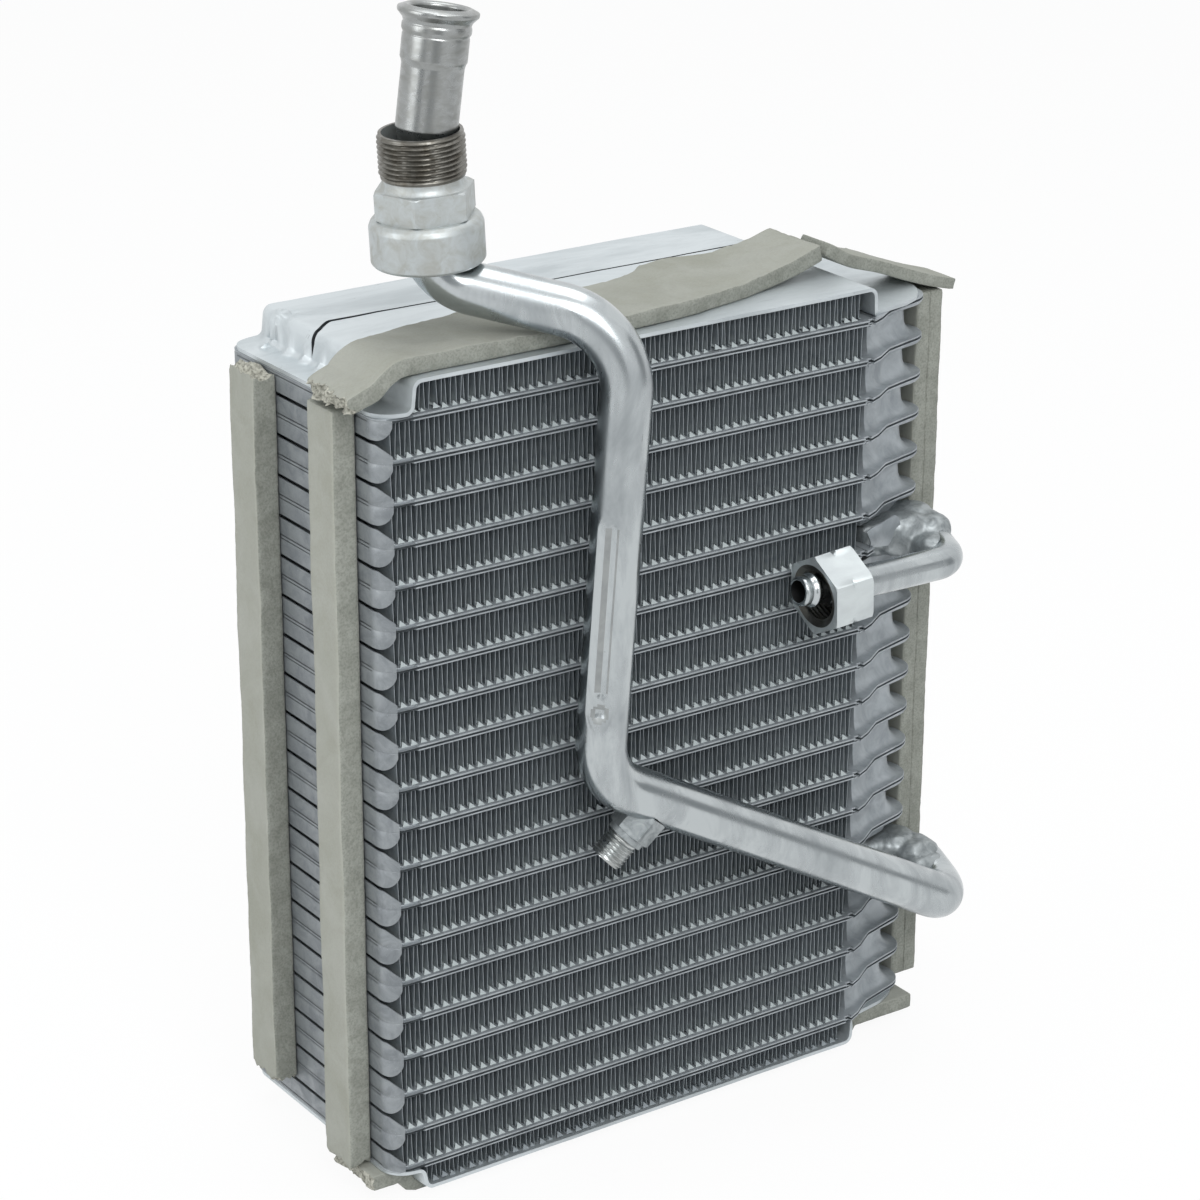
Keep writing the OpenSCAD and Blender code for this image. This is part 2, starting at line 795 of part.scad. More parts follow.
module suction_nut() {
    hex_z = skirt_h + 1.7;
    neck_z = hex_z + nut_hex_h;
    thread_z = neck_z + 1.4;
    top = thread_z + thread_l;
    skirt_r = skirt_d / 2;
    hex_turn = 18.4;
    color(bare_aluminium)
        along(nut_at, nut_dir)
            difference() {
                union() {
                    cylinder(h = skirt_h - 1, r = skirt_r);
                    translate([0, 0, skirt_h - 1])
                        cylinder(h = 2.7, r1 = skirt_r, r2 = nut_flats / 2);
                    translate([0, 0, skirt_h + 1])
                        rotate(hex_turn)
                            cylinder(h = neck_z - skirt_h - 1, d = nut_flats / cos(30), $fn = 6);
                    translate([0, 0, neck_z])
                        cylinder(h = top - neck_z, r = thread_d / 2 - 1);
                    translate([0, 0, thread_z])
                        cylinder(h = thread_l, r = thread_d / 2);
                }
                translate([0, 0, -eps])
                    cylinder(h = top + 2 * eps, r = nut_bore_d / 2);
                translate([0, 0, -eps])
                    cylinder(h = skirt_h - 1, r = skirt_bore_d / 2);
            }
}

// Service port on the lower bend, aimed down, left and slightly back
port_x = low_x + 22.5;
port_at = [port_x, line_y - 0.5 * (leg_x - port_x) / (leg_x - low_x), leg_z + leg_slope * (leg_x - port_x)];
port_dir = unit([-0.664, 0.178, -0.711]);
thread_z0 = port_reach - port_thread_l;

module service_port() {
    collar_h = 2;
    a = suction_route[2];
    b = suction_route[3];
    color(bare_aluminium)
        difference() {
            along(port_at, port_dir) {
                cylinder(h = thread_z0 - collar_h, d = port_flats / cos(30), $fn = 6);
                translate([0, 0, thread_z0 - collar_h])
                    cylinder(h = collar_h, r = port_thread_d / 2 + 0.7);
                translate([0, 0, thread_z0])
                    cylinder(h = port_thread_l, r = port_thread_d / 2);
            }
            bar_along([a, b], [], suction_r);
            along(port_at, port_dir)
                cylinder(h = far, r = core_valve_d / 2);
        }
}

// Screwed-in valve core, with the bore its pin slides in
module valve_core() {
    running = 0.1;
    color("#B79A4E")
        along(port_at + port_dir * (port_reach - core_valve_l - core_valve_in), port_dir)
            difference() {
                cylinder(h = core_valve_l, r = core_valve_d / 2);
                translate([0, 0, -eps])
                    cylinder(h = core_valve_l + 2 * eps, r = pin_d / 2 + running);
            }
}

// Pin of the valve, with the disc that closes the core's inner end
module valve_pin() {
    disc_h = 1.4;
    stand = 0.6;
    seat = 0.05;
    inner = port_reach - core_valve_l - core_valve_in;
    color("#B79A4E")
        along(port_at + port_dir * (inner - seat - disc_h), port_dir) {
            cylinder(h = disc_h, r = pin_d / 2 + 0.9);
            cylinder(h = port_reach - stand - inner + seat + disc_h, r = pin_d / 2);
        }
}

// Liquid line: from the tank forward, round to the left and into its nut
liquid_r = liquid_d / 2;
liquid_boss_r = liquid_r + 2.2;
liquid_z = plate_z(liquid_plate);
liquid_y = line_y - 1.2;
liquid_end = [half_w - 72.6, liquid_y, liquid_z + 0.3];
liquid_straight = [half_w - 43.6, liquid_y, liquid_z - 2.5];
liquid_route = [
    [cup_x + 6.9, -cup_y - 8.5, liquid_z],
    [leg_x, -cup_y - 20.5, liquid_z - 1],
    [half_w - 9.7, liquid_y, liquid_z - 2.9],
    liquid_straight
];
liquid_bends = [8.5, 9];
liquid_dir = liquid_end - liquid_straight;

module liquid_boss() {
    start = liquid_route[0];
    way = liquid_route[1] - start;
    boss(liquid_plate, start, way, liquid_seat, liquid_r, liquid_wall, liquid_boss_r - 0.6, liquid_boss_r - 1, 10);
}

module liquid_pipe() {
    start = liquid_route[0];
    way = unit(liquid_route[1] - start);
    route = [for (k = [0 : len(liquid_route) - 1]) k == 0 ? start + way * liquid_seat : liquid_route[k]];
    whole = concat(route, [liquid_end]);
    reach = norm(liquid_dir);
    color(bare_aluminium)
        difference() {
            union() {
                bar_along(whole, concat(liquid_bends, [30]), liquid_r);
                along(liquid_straight, liquid_dir) {
                    translate([0, 0, reach - 13])
                        cylinder(h = 2, r = bead_d / 2);
                    translate([0, 0, reach - 6])
                        cylinder(h = 2.6, r = liquid_r + 0.8);
                }
            }
            bar_along(whole, concat(liquid_bends, [30]), liquid_r - liquid_wall, eps);
        }
}

// Captive nut of the liquid line, hanging a little low on the pipe
liquid_nut_at = [half_w - 51.6, liquid_y, liquid_z - 1.7];
liquid_nut_dir = [-1, 0, -0.065];

module liquid_nut() {
    back_wall = 4;
    color(bare_aluminium)
        along(liquid_nut_at, liquid_nut_dir)
            difference() {
                cylinder(h = liquid_nut_l, d = liquid_nut_flats / cos(30), $fn = 6);
                translate([0, 0, -eps])
                    cylinder(h = liquid_nut_l, r = liquid_back_d / 2);
                translate([0, 0, back_wall])
                    cylinder(h = liquid_nut_l, r = liquid_bore_d / 2);
            }
}

// Everything above is placed from the middle of the bottom end plate; this moves it to the origin
translate([0, -foam_mid_y, pressed_foam_t]) {
    for (k = [1 : 20])
        tube_plate(k);
    for (k = [1 : 21])
        fin(k);
    top_end_plate();
    bottom_end_plate();
    foam_left_front();
    foam_left_back();
    foam_right_front();
    foam_right_back();
    foam_top();
    foam_top_right();
    foam_bottom();
    suction_boss();
    suction_pipe();
    suction_end();
    suction_nut();
    service_port();
    valve_core();
    valve_pin();
    liquid_boss();
    liquid_pipe();
    liquid_nut();
}
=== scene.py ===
"""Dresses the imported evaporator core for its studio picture.

Each class is one sub-assembly or one finish of the real core: a laminated stack of stamped tube
plates and corrugated fins, with foam seals, a suction line and a liquid line. Sizes are in
millimetres from the middle of the bottom end plate's underside, and `metres` moves them to the
model's own origin, on the foam that the core stands on.
"""

import logging
import math
from dataclasses import dataclass, field
from enum import Enum
from typing import Callable, Iterable, Sequence

import bmesh
import bpy
from mathutils import Matrix, Vector, noise


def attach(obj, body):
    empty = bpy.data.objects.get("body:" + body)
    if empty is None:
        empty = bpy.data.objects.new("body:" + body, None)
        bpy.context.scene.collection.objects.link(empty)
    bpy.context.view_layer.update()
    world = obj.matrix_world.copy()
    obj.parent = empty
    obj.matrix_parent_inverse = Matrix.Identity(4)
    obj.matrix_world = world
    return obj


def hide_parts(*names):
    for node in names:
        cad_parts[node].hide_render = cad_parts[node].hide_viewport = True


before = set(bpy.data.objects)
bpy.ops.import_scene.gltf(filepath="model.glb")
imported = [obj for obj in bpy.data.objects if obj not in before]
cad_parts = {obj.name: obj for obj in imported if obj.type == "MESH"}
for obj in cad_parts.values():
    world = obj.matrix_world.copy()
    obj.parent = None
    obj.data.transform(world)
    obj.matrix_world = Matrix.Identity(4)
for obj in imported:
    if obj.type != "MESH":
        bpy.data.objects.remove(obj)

LOG = logging.getLogger("evaporator_core")
MM = 0.001
ORIGIN = Vector((0.0, 27.5, 3.5))
CORE = "core"
Loop = list[Vector]
Value = float | int | tuple | str | bool


def metres(points: Iterable[Sequence[float]]) -> list[Vector]:
    """Moves points from the core's millimetres to the model's metres.

    Args:
        points: Places in millimetres.

    Returns:
        The same places in metres, from the model's origin.
    """
    return [(Vector(p) + ORIGIN) * MM for p in points]


def srgb(code: str) -> tuple[float, float, float, float]:
    """Turns an sRGB hex colour to the linear one that Blender's sockets take.

    Args:
        code: A colour such as "#C9CFD1".

    Returns:
        Red, green, blue and an alpha of 1.
    """
    values = [int(code[k : k + 2], 16) / 255 for k in (1, 3, 5)]
    linear = [v / 12.92 if v <= 0.04045 else ((v + 0.055) / 1.055) ** 2.4 for v in values]
    return (*linear, 1.0)


def add_node(
    tree: bpy.types.NodeTree, kind: str, inputs: dict | None = None, **settings: Value
) -> bpy.types.Node:
    """Adds one node, with its settings and links.

    Args:
        tree: The tree that takes the node.
        kind: The node's type, such as "ShaderNodeTexNoise".
        inputs: An input's name or number to its value, or to the socket linked to it.
        settings: The node's own properties.

    Returns:
        The new node.
    """
    node = tree.nodes.new(kind)
    for name, value in settings.items():
        setattr(node, name, value)
    for name, value in (inputs or {}).items():
        if isinstance(value, bpy.types.NodeSocket):
            tree.links.new(value, node.inputs[name])
        else:
            node.inputs[name].default_value = value
    return node


def ramp(
    tree: bpy.types.NodeTree, source: bpy.types.NodeSocket, stops: Sequence[tuple]
) -> bpy.types.NodeSocket:
    """Maps a value to colours.

    Args:
        tree: The tree that takes the ramp.
        source: The value.
        stops: Pairs of a position and a hex colour or a grey level.

    Returns:
        The ramp's colour output.
    """
    node = add_node(tree, "ShaderNodeValToRGB", {0: source})
    stop_list = node.color_ramp.elements
    while len(stop_list) < len(stops):
        stop_list.new(1.0)
    for stop, (place, colour) in zip(stop_list, stops):
        stop.position = place
        stop.color = srgb(colour) if isinstance(colour, str) else (colour, colour, colour, 1.0)
    return node.outputs["Color"]


@dataclass(frozen=True)
class Finish:
    """A surface as the maker left it.

    Attributes:
        name: The material's name.
        colour: Its usual colour.
        worn: Its colour where it is stained or rubbed.
        metallic: 1 for bare metal, less under a haze.
        rough: Roughness of its smooth places.
        rough_worn: Roughness of its dull places.
        patch: Size of its stains, in millimetres.
        grain: Size of its finest grain that shows, in millimetres.
        relief: Depth of that grain, in millimetres.
        stretch: How the pattern is stretched along X, Y and Z.
    """

    name: str
    colour: str
    worn: str
    metallic: float = 1.0
    rough: float = 0.35
    rough_worn: float = 0.5
    patch: float = 12.0
    grain: float = 0.5
    relief: float = 0.02
    stretch: tuple[float, float, float] = (1.0, 1.0, 1.0)

    def material(self) -> bpy.types.Material:
        """Returns the material, made on first use."""
        made = bpy.data.materials.get(self.name)
        return made if made else self.make()

    def make(self) -> bpy.types.Material:
        """Builds the node tree.

        Returns:
            The new material.
        """
        made = bpy.data.materials.new(self.name)
        made.use_nodes = True
        tree = made.node_tree
        tree.nodes.clear()
        place = add_node(tree, "ShaderNodeTexCoord").outputs["Object"]
        place = add_node(tree, "ShaderNodeMapping", {"Vector": place, "Scale": self.stretch}).outputs[0]
        stain = self.stain(tree, place)
        fine = add_node(
            tree, "ShaderNodeTexNoise", {"Vector": place, "Scale": 1 / (self.grain * MM), "Detail": 3.0}
        ).outputs[0]
        bump = add_node(
            tree, "ShaderNodeBump", {"Height": fine, "Distance": self.relief * MM, "Strength": 0.6}
        ).outputs[0]
        shader = add_node(
            tree,
            "ShaderNodeBsdfPrincipled",
            {
                "Base Color": self.tint(tree, place, stain, fine),
                "Metallic": self.metallic,
                "Roughness": add_node(
                    tree, "ShaderNodeMapRange", {0: stain, 3: self.rough, 4: self.rough_worn}
                ).outputs[0],
                "Normal": bump,
            },
        )
        self.finish_shader(shader)
        add_node(tree, "ShaderNodeOutputMaterial", {"Surface": shader.outputs[0]})
        return made

    def stain(self, tree: bpy.types.NodeTree, place: bpy.types.NodeSocket) -> bpy.types.NodeSocket:
        """Returns where the surface is stained, from 0 to 1."""
        broad = add_node(
            tree,
            "ShaderNodeTexNoise",
            {
                "Vector": place,
                "Scale": 1 / (self.patch * MM),
                "Detail": 6.0,
                "Roughness": 0.65,
                "Distortion": 0.6,
            },
        ).outputs[0]
        return ramp(tree, broad, [(0.4, 0.0), (0.66, 1.0)])

    def tint(
        self,
        tree: bpy.types.NodeTree,
        place: bpy.types.NodeSocket,
        stain: bpy.types.NodeSocket,
        fine: bpy.types.NodeSocket,
    ) -> bpy.types.NodeSocket:
        """Returns the colour, from the usual one to the worn one where it is stained."""
        return add_node(
            tree, "ShaderNodeMix", {0: stain, 6: srgb(self.colour), 7: srgb(self.worn)}, data_type="RGBA"
        ).outputs[2]

    def finish_shader(self, shader: bpy.types.Node) -> None:
        """Sets what only some finishes have on the shader."""


@dataclass(frozen=True)
class Foam(Finish):
    """Open polyurethane foam, skinned on its flat faces and cut on its edges.

    The pores are 0.5 mm across; their light and shade are painted on as a speckle, with painted highlights on
    pale rims and painted shade in dark hollows. The deeper the relief, the stronger the speckle.
    """

    def tint(
        self,
        tree: bpy.types.NodeTree,
        place: bpy.types.NodeSocket,
        stain: bpy.types.NodeSocket,
        fine: bpy.types.NodeSocket,
    ) -> bpy.types.NodeSocket:
        """Returns the foam's colour, with the pores' light and shade painted on as a speckle."""
        base = super().tint(tree, place, stain, fine)
        low, high = 1 - self.relief * 0.7, 1 + self.relief * 0.3
        # Painted shade in the pores' hollows and painted highlights on their rims, as a speckle.
        pore_shading = ramp(tree, fine, [(0.36, low), (0.52, 1.0), (0.7, high)])
        return add_node(
            tree, "ShaderNodeMix", {0: 1.0, 6: base, 7: pore_shading}, data_type="RGBA", blend_type="MULTIPLY"
        ).outputs[2]

    def finish_shader(self, shader: bpy.types.Node) -> None:
        """Foam hardly reflects."""
        shader.inputs["Specular IOR Level"].default_value = 0.15


@dataclass(frozen=True)
class FinStock(Finish):
    """Thin brazed sheet, with painted highlights on the feet of its lower folds and on its cut edges.

    The up-facing foot of each fold is painted pale, a painted highlight where light reaches the trough's floor,
    so it shows as a bright fleck along its plate. Faces that look front or back, the cut edges, are painted
    paler, also a painted highlight.

    Attributes:
        floor_highlight: Colour of the painted highlight on the folds' up-facing feet.
        edge: Colour of the painted highlight on the sheet's cut edges, brighter than its faces.
        layer: Rise from one layer of fins to the next, in millimetres.
        foot: Height of a layer's foot above the model's zero.
    """

    # Colour of the painted highlight on the folds' up-facing feet.
    floor_highlight: str = "#B9C1C2"
    # Colour of the painted highlight on the cut edges.
    edge: str = "#A6ADB1"
    layer: float = 13.0
    foot: float = 13.4

    def tint(
        self,
        tree: bpy.types.NodeTree,
        place: bpy.types.NodeSocket,
        stain: bpy.types.NodeSocket,
        fine: bpy.types.NodeSocket,
    ) -> bpy.types.NodeSocket:
        """Returns the sheet's colour, with a painted highlight on its cut edges and where a fold's foot faces
        up.
        """
        base = super().tint(tree, place, stain, fine)
        normal = add_node(tree, "ShaderNodeNewGeometry").outputs["Normal"]
        facing = add_node(tree, "ShaderNodeSeparateXYZ", {0: normal})
        # Painted highlight: faces that look front or back, the sheet's cut edges, are painted paler.
        ahead = add_node(tree, "ShaderNodeMath", {0: facing.outputs["Y"]}, operation="ABSOLUTE").outputs[0]
        cut = ramp(tree, ahead, [(0.5, 0.0), (0.9, 1.0)])
        base = add_node(
            tree, "ShaderNodeMix", {0: cut, 6: base, 7: srgb(self.edge)}, data_type="RGBA"
        ).outputs[2]
        spot = add_node(tree, "ShaderNodeTexCoord").outputs["Object"]
        height = add_node(tree, "ShaderNodeSeparateXYZ", {0: spot}).outputs["Z"]
        share = add_node(
            tree,
            "ShaderNodeMath",
            {0: height, 1: 1 / (self.layer * MM), 2: -self.foot / self.layer},
            operation="MULTIPLY_ADD",
        ).outputs[0]
        share = add_node(tree, "ShaderNodeMath", {0: share}, operation="FRACT").outputs[0]
        # Painted highlight: the up-facing foot of each layer is painted pale, as if lit.
        low = ramp(tree, share, [(0.14, 1.0), (0.3, 0.0)])
        floor = ramp(tree, facing.outputs["Z"], [(0.02, 0.0), (0.25, 1.0)])
        both = add_node(tree, "ShaderNodeMath", {0: low, 1: floor}, operation="MULTIPLY").outputs[0]
        return add_node(
            tree, "ShaderNodeMix", {0: both, 6: base, 7: srgb(self.floor_highlight)}, data_type="RGBA"
        ).outputs[2]


@dataclass(frozen=True)
class Scuffed(Finish):
    """Bare metal with fine scratches and pits from handling.

    Attributes:
        scratch: Size of the pattern that the scratches follow, in millimetres.
        pit: Their colour.
    """

    scratch: float = 2.4
    pit: str = "#6E7274"

    def tint(
        self,
        tree: bpy.types.NodeTree,
        place: bpy.types.NodeSocket,
        stain: bpy.types.NodeSocket,
        fine: bpy.types.NodeSocket,
    ) -> bpy.types.NodeSocket:
        """Returns the metal's colour, darker in its scratches."""
        base = super().tint(tree, place, stain, fine)
        thin = add_node(
            tree,
            "ShaderNodeTexNoise",
            {
                "Vector": place,
                "Scale": 1 / (self.scratch * MM),
                "Detail": 4.0,
                "Roughness": 0.8,
                "Distortion": 1.5,
            },
        ).outputs[0]
        marks = ramp(tree, thin, [(0.66, 0.0), (0.73, 0.75)])
        return add_node(
            tree, "ShaderNodeMix", {0: marks, 6: base, 7: srgb(self.pit)}, data_type="RGBA"
        ).outputs[2]


# Furnace-brazed aluminium sheet: a hazy satin, greyed by flux.
BRAZED = Finish("Brazed aluminium sheet", "#A7ADB1", "#90969A", 0.42, 0.42, 0.58, 9.0, 0.35, 0.012)
# The upright tabs, painted greyer than the plates as painted shade on these side faces, and speckled with flux.
TAB = Scuffed(
    "Brazed end tab", "#8F9497", "#777C80", 0.5, 0.42, 0.58, 7.0, 0.35, 0.012, (1, 1, 1), 1.5, "#C4C8CA"
)
# The lap between a plate's two sheets, filled with braze, painted dark as painted shade in its recessed groove.
LAP_SHADE = Finish("Braze-filled lap", "#6C7276", "#595F63", 0.4, 0.5, 0.65, 6.0, 0.3, 0.01)
# Depth of a seam between two sheets, dull, and painted dark as painted shade; it lines the walls of the end
# plate's slit.
SLIT_SHADE = Finish("Shaded brazed seam", "#3A3E41", "#2C2F32", 0.3, 0.6, 0.75, 6.0, 0.3, 0.01)
# The end plates are the same sheet, painted paler as painted light where the top panel faces the lamps; the
# bottom plate takes the same colour.
PANEL = Scuffed(
    "Brazed end plate sheet",
    "#C9D0D3",
    "#B0B7BA",
    metallic=0.7,
    rough=0.4,
    rough_worn=0.55,
    patch=22.0,
    relief=0.012,
    stretch=(0.35, 1, 1),
    scratch=3.2,
    pit="#8C9193",
)
# Thin fin stock, dull from brazing, its colour darkened as painted shade in the narrow channels between the
# folds.
FIN = FinStock("Brazed fin stock", "#868E93", "#737B80", 0.3, 0.45, 0.6, 6.0, 0.3, 0.01)
# Drawn aluminium tube, bright, with scuffs drawn out along it.
TUBE = Scuffed("Drawn aluminium tube", "#BCC2C4", "#A1A7AA", 1.0, 0.2, 0.36, 14.0, 0.4, 0.01, (1, 1, 0.3), 2.2)
# The same tube, painted darker as painted shade on the pressed groove's flanks and round the dimple.
GROOVE_SHADE = Finish("Press-dulled tube", "#A3A7A7", "#969A9B", 1.0, 0.38, 0.5, 6.0, 0.4, 0.01)
# Rough sheet and braze of the bosses, grey and dull.
CAST = Finish("Braze-covered boss", "#A2A8AA", "#7F8587", 0.75, 0.42, 0.6, 4.0, 0.6, 0.05)
# Machined and tumbled aluminium of the larger nut, with the brown stains of old oil.
TURNED = Scuffed(
    "Turned aluminium", "#B6BCBD", "#A9ABA7", 0.7, 0.42, 0.58, 5.0, 0.35, 0.03, (1, 1, 1), 3.4, "#8E8878"
)
# The port's rolled thread, still bright.
BRIGHT_THREAD = Finish("Bright rolled thread", "#C2C6C6", "#A5A8A7", 1.0, 0.25, 0.4, 4.0, 0.3, 0.01)
# The milled flats of the smaller nut, brighter and evenly brushed.
MILLED = Finish("Milled aluminium", "#CDD4D5", "#BDC3C5", 0.8, 0.36, 0.46, 10.0, 0.25, 0.01, (0.3, 1, 1))
# Rolled threads, darkened by handling.
THREAD = Finish("Rolled thread", "#7C7B76", "#5E5B54", 1.0, 0.3, 0.45, 5.0, 0.3, 0.01)
# Turned and burnished tube end under the lip.
BURNISHED = Finish("Burnished aluminium", "#9FA2A2", "#8F918F", 1.0, 0.26, 0.36, 5.0, 0.3, 0.012, (1, 1, 2))
# Inside of the pipes, the same aluminium painted dark as painted shade in the bore.
BORE = Finish("Pipe bore", "#6A6C6D", "#4A4D50", 1.0, 0.4, 0.5, 5.0, 0.3, 0.01)
BRASS = Finish("Turned brass", "#B89A55", "#8E7540", 1.0, 0.3, 0.45, 3.0, 0.2, 0.01)
# Foam skin and its cut or torn faces, which show their pores.
SKIN = Foam("Seal foam skin", "#A1A29A", "#98998F", 0.0, 0.9, 0.95, 20.0, 0.7, 0.06)
CUT = Foam("Cut seal foam", "#95978F", "#85877F", 0.0, 0.95, 0.98, 7.0, 0.7, 0.26)
FRAYED = Foam("Frayed seal foam", "#B4B3A8", "#8B8A80", 0.0, 0.95, 0.98, 2.2, 0.9, 0.6)


class Mesh:
    """Collects the faces of one piece, in millimetres, with a finish for each face."""

    def __init__(self) -> None:
        """Starts with nothing."""
        self.points: list[Vector] = []
        self.faces: list[tuple[list[int], int]] = []
        self.finishes: list[Finish] = []

    def slot(self, finish: Finish) -> int:
        """Returns the number of a finish in this piece, adding it if it is new."""
        if finish not in self.finishes:
            self.finishes.append(finish)
        return self.finishes.index(finish)

    def add(self, loop: Iterable[Sequence[float]]) -> list[int]:
        """Adds points and returns their numbers."""
        start = len(self.points)
        self.points += [Vector(p) for p in loop]
        return list(range(start, len(self.points)))

    def face(self, numbers: Sequence[int], finish: Finish) -> None:
        """Adds one face."""
        self.faces.append((list(numbers), self.slot(finish)))

    def refinish(self, number: int, finish: Finish) -> None:
        """Gives a face that is already there another finish."""
        self.faces[number] = (self.faces[number][0], self.slot(finish))

    def loft(
        self,
        loops: Sequence[Sequence],
        finish: Finish,
        closed: bool = True,
        turn: bool = False,
    ) -> list[list[int]]:
        """Joins loops of equal length into a skin.

        Args:
            loops: The loops in order, each with the same number of points.
            finish: The skin's finish.
            closed: Whether each loop closes on itself.
            turn: Whether the faces point the other way.

        Returns:
            The numbers of each loop's points.
        """
        rows = [self.add(loop) for loop in loops]
        for low, high in zip(rows, rows[1:]):
            count = len(low)
            for k in range(count if closed else count - 1):
                after = (k + 1) % count
                quad = [low[k], low[after], high[after], high[k]]
                self.face(quad[::-1] if turn else quad, finish)
        return rows

    def make(self, name: str, angle: float, merge: float = 0.001) -> bpy.types.Object:
        """Turns what was collected into an object in the scene.

        Args:
            name: The piece's name.
            angle: Edges sharper than this, in degrees, stay sharp.
            merge: Points closer than this, in millimetres, become one.

        Returns:
            The object, at the origin.
        """
        data = bpy.data.meshes.new(name)
        data.from_pydata(metres(self.points), [], [numbers for numbers, _ in self.faces])
        for finish in self.finishes:
            data.materials.append(finish.material())
        data.polygons.foreach_set("material_index", [number for _, number in self.faces])
        work = bmesh.new()
        work.from_mesh(data)
        bmesh.ops.remove_doubles(work, verts=work.verts, dist=merge * MM)
        bmesh.ops.recalc_face_normals(work, faces=work.faces)
        work.to_mesh(data)
        work.free()
        data.polygons.foreach_set("use_smooth", [True] * len(data.polygons))
        data.set_sharp_from_angle(angle=math.radians(angle))
        made = bpy.data.objects.new(name, data)
        bpy.context.scene.collection.objects.link(made)
        return made


def arc(
    centre: Sequence[float], radius: float, start: float, end: float, steps: int
) -> list[tuple[float, float]]:
    """Returns points along an arc in the plane, angles in degrees."""
    angles = [math.radians(start + (end - start) * k / steps) for k in range(steps + 1)]
    return [(centre[0] + radius * math.cos(a), centre[1] + radius * math.sin(a)) for a in angles]


def mirrored(points: Sequence[Sequence[float]]) -> list[tuple[float, float]]:
    """Returns a plan's points mirrored front to back, in the order that closes the loop."""
    return [(p[0], -p[1]) for p in reversed(points)]


def inset(loop: Sequence[Sequence[float]], distance: float) -> list[tuple[float, float]]:
    """Moves a closed plan inwards.

    Args:
        loop: Its points, anticlockwise.
        distance: How far, in millimetres.

    Returns:
        As many points as before.
    """
    out = []
    for k, point in enumerate(loop):
        before, here, after = Vector(loop[k - 1]), Vector(point), Vector(loop[(k + 1) % len(loop)])
        first, second = (here - before).normalized(), (after - here).normalized()
        normal = Vector((-(first.y + second.y), first.x + second.x))
        length = max(normal.length, 0.3)
        normal = normal.normalized() * (2 / length) if normal.length else normal
        out.append(tuple(here + normal * distance))
    return out


def settle(made: bpy.types.Object, body: str, slot: str, *nodes: str) -> bpy.types.Object:
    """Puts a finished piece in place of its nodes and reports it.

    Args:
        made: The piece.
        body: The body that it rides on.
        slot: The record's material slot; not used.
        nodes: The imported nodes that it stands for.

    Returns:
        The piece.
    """
    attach(made, body)
    if nodes:
        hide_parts(*nodes)
    LOG.info("%s: %d faces, rides on %s", made.name, len(made.data.polygons), body)
    return made


class Socket(Enum):
    """Named inputs of the tree that repeats a piece."""

    ALONG = "Copies along"
    STEP = "Step along"
    UP = "Copies up"
    RISE = "Rise"
    WOBBLE = "Wobble"
    SEED = "Seed"


def repeat_tree(finish: Finish) -> bpy.types.NodeTree:
    """Makes the Geometry Nodes tree that repeats a piece along X and up Z, each copy a little askew.

    Args:
        finish: The finish of the copies.

    Returns:
        The tree.
    """
    name = f"Repeat in {finish.name}"
    if name in bpy.data.node_groups:
        return bpy.data.node_groups[name]
    tree = bpy.data.node_groups.new(name, "GeometryNodeTree")
    panel = tree.interface
    panel.new_socket("Geometry", in_out="INPUT", socket_type="NodeSocketGeometry")
    for socket, kind in (
        (Socket.ALONG, "NodeSocketInt"),
        (Socket.STEP, "NodeSocketFloat"),
        (Socket.UP, "NodeSocketInt"),
        (Socket.RISE, "NodeSocketFloat"),
        (Socket.WOBBLE, "NodeSocketFloat"),
        (Socket.SEED, "NodeSocketInt"),
    ):
        panel.new_socket(socket.value, in_out="INPUT", socket_type=kind)
    panel.new_socket("Geometry", in_out="OUTPUT", socket_type="NodeSocketGeometry")
    given = add_node(tree, "NodeGroupInput").outputs
    rows = []
    for count, step, axis in ((Socket.ALONG, Socket.STEP, 0), (Socket.UP, Socket.RISE, 2)):
        offset = add_node(tree, "ShaderNodeCombineXYZ", {axis: given[step.value]}).outputs[0]
        rows.append(
            add_node(
                tree, "GeometryNodeMeshLine", {"Count": given[count.value], "Offset": offset}, mode="OFFSET"
            ).outputs[0]
        )
    grid = add_node(tree, "GeometryNodeInstanceOnPoints", {"Points": rows[1], "Instance": rows[0]}).outputs[0]
    grid = add_node(tree, "GeometryNodeRealizeInstances", {0: grid}).outputs[0]
    less = add_node(
        tree, "ShaderNodeMath", {0: given[Socket.WOBBLE.value], 1: -1.0}, operation="MULTIPLY"
    ).outputs[0]
    low = add_node(tree, "ShaderNodeCombineXYZ", {0: less, 1: less, 2: less}).outputs[0]
    high = add_node(
        tree,
        "ShaderNodeCombineXYZ",
        {0: given[Socket.WOBBLE.value], 1: given[Socket.WOBBLE.value], 2: given[Socket.WOBBLE.value]},
    ).outputs[0]
    turn = add_node(
        tree,
        "FunctionNodeRandomValue",
        {"Min": low, "Max": high, "Seed": given[Socket.SEED.value]},
        data_type="FLOAT_VECTOR",
    ).outputs[0]
    copies = add_node(
        tree,
        "GeometryNodeInstanceOnPoints",
        {"Points": grid, "Instance": given["Geometry"], "Rotation": turn},
    ).outputs[0]
    solid = add_node(tree, "GeometryNodeRealizeInstances", {0: copies}).outputs[0]
    dressed = add_node(
        tree, "GeometryNodeSetMaterial", {"Geometry": solid, "Material": finish.material()}
    ).outputs[0]
    add_node(tree, "NodeGroupOutput", {0: dressed})
    return tree


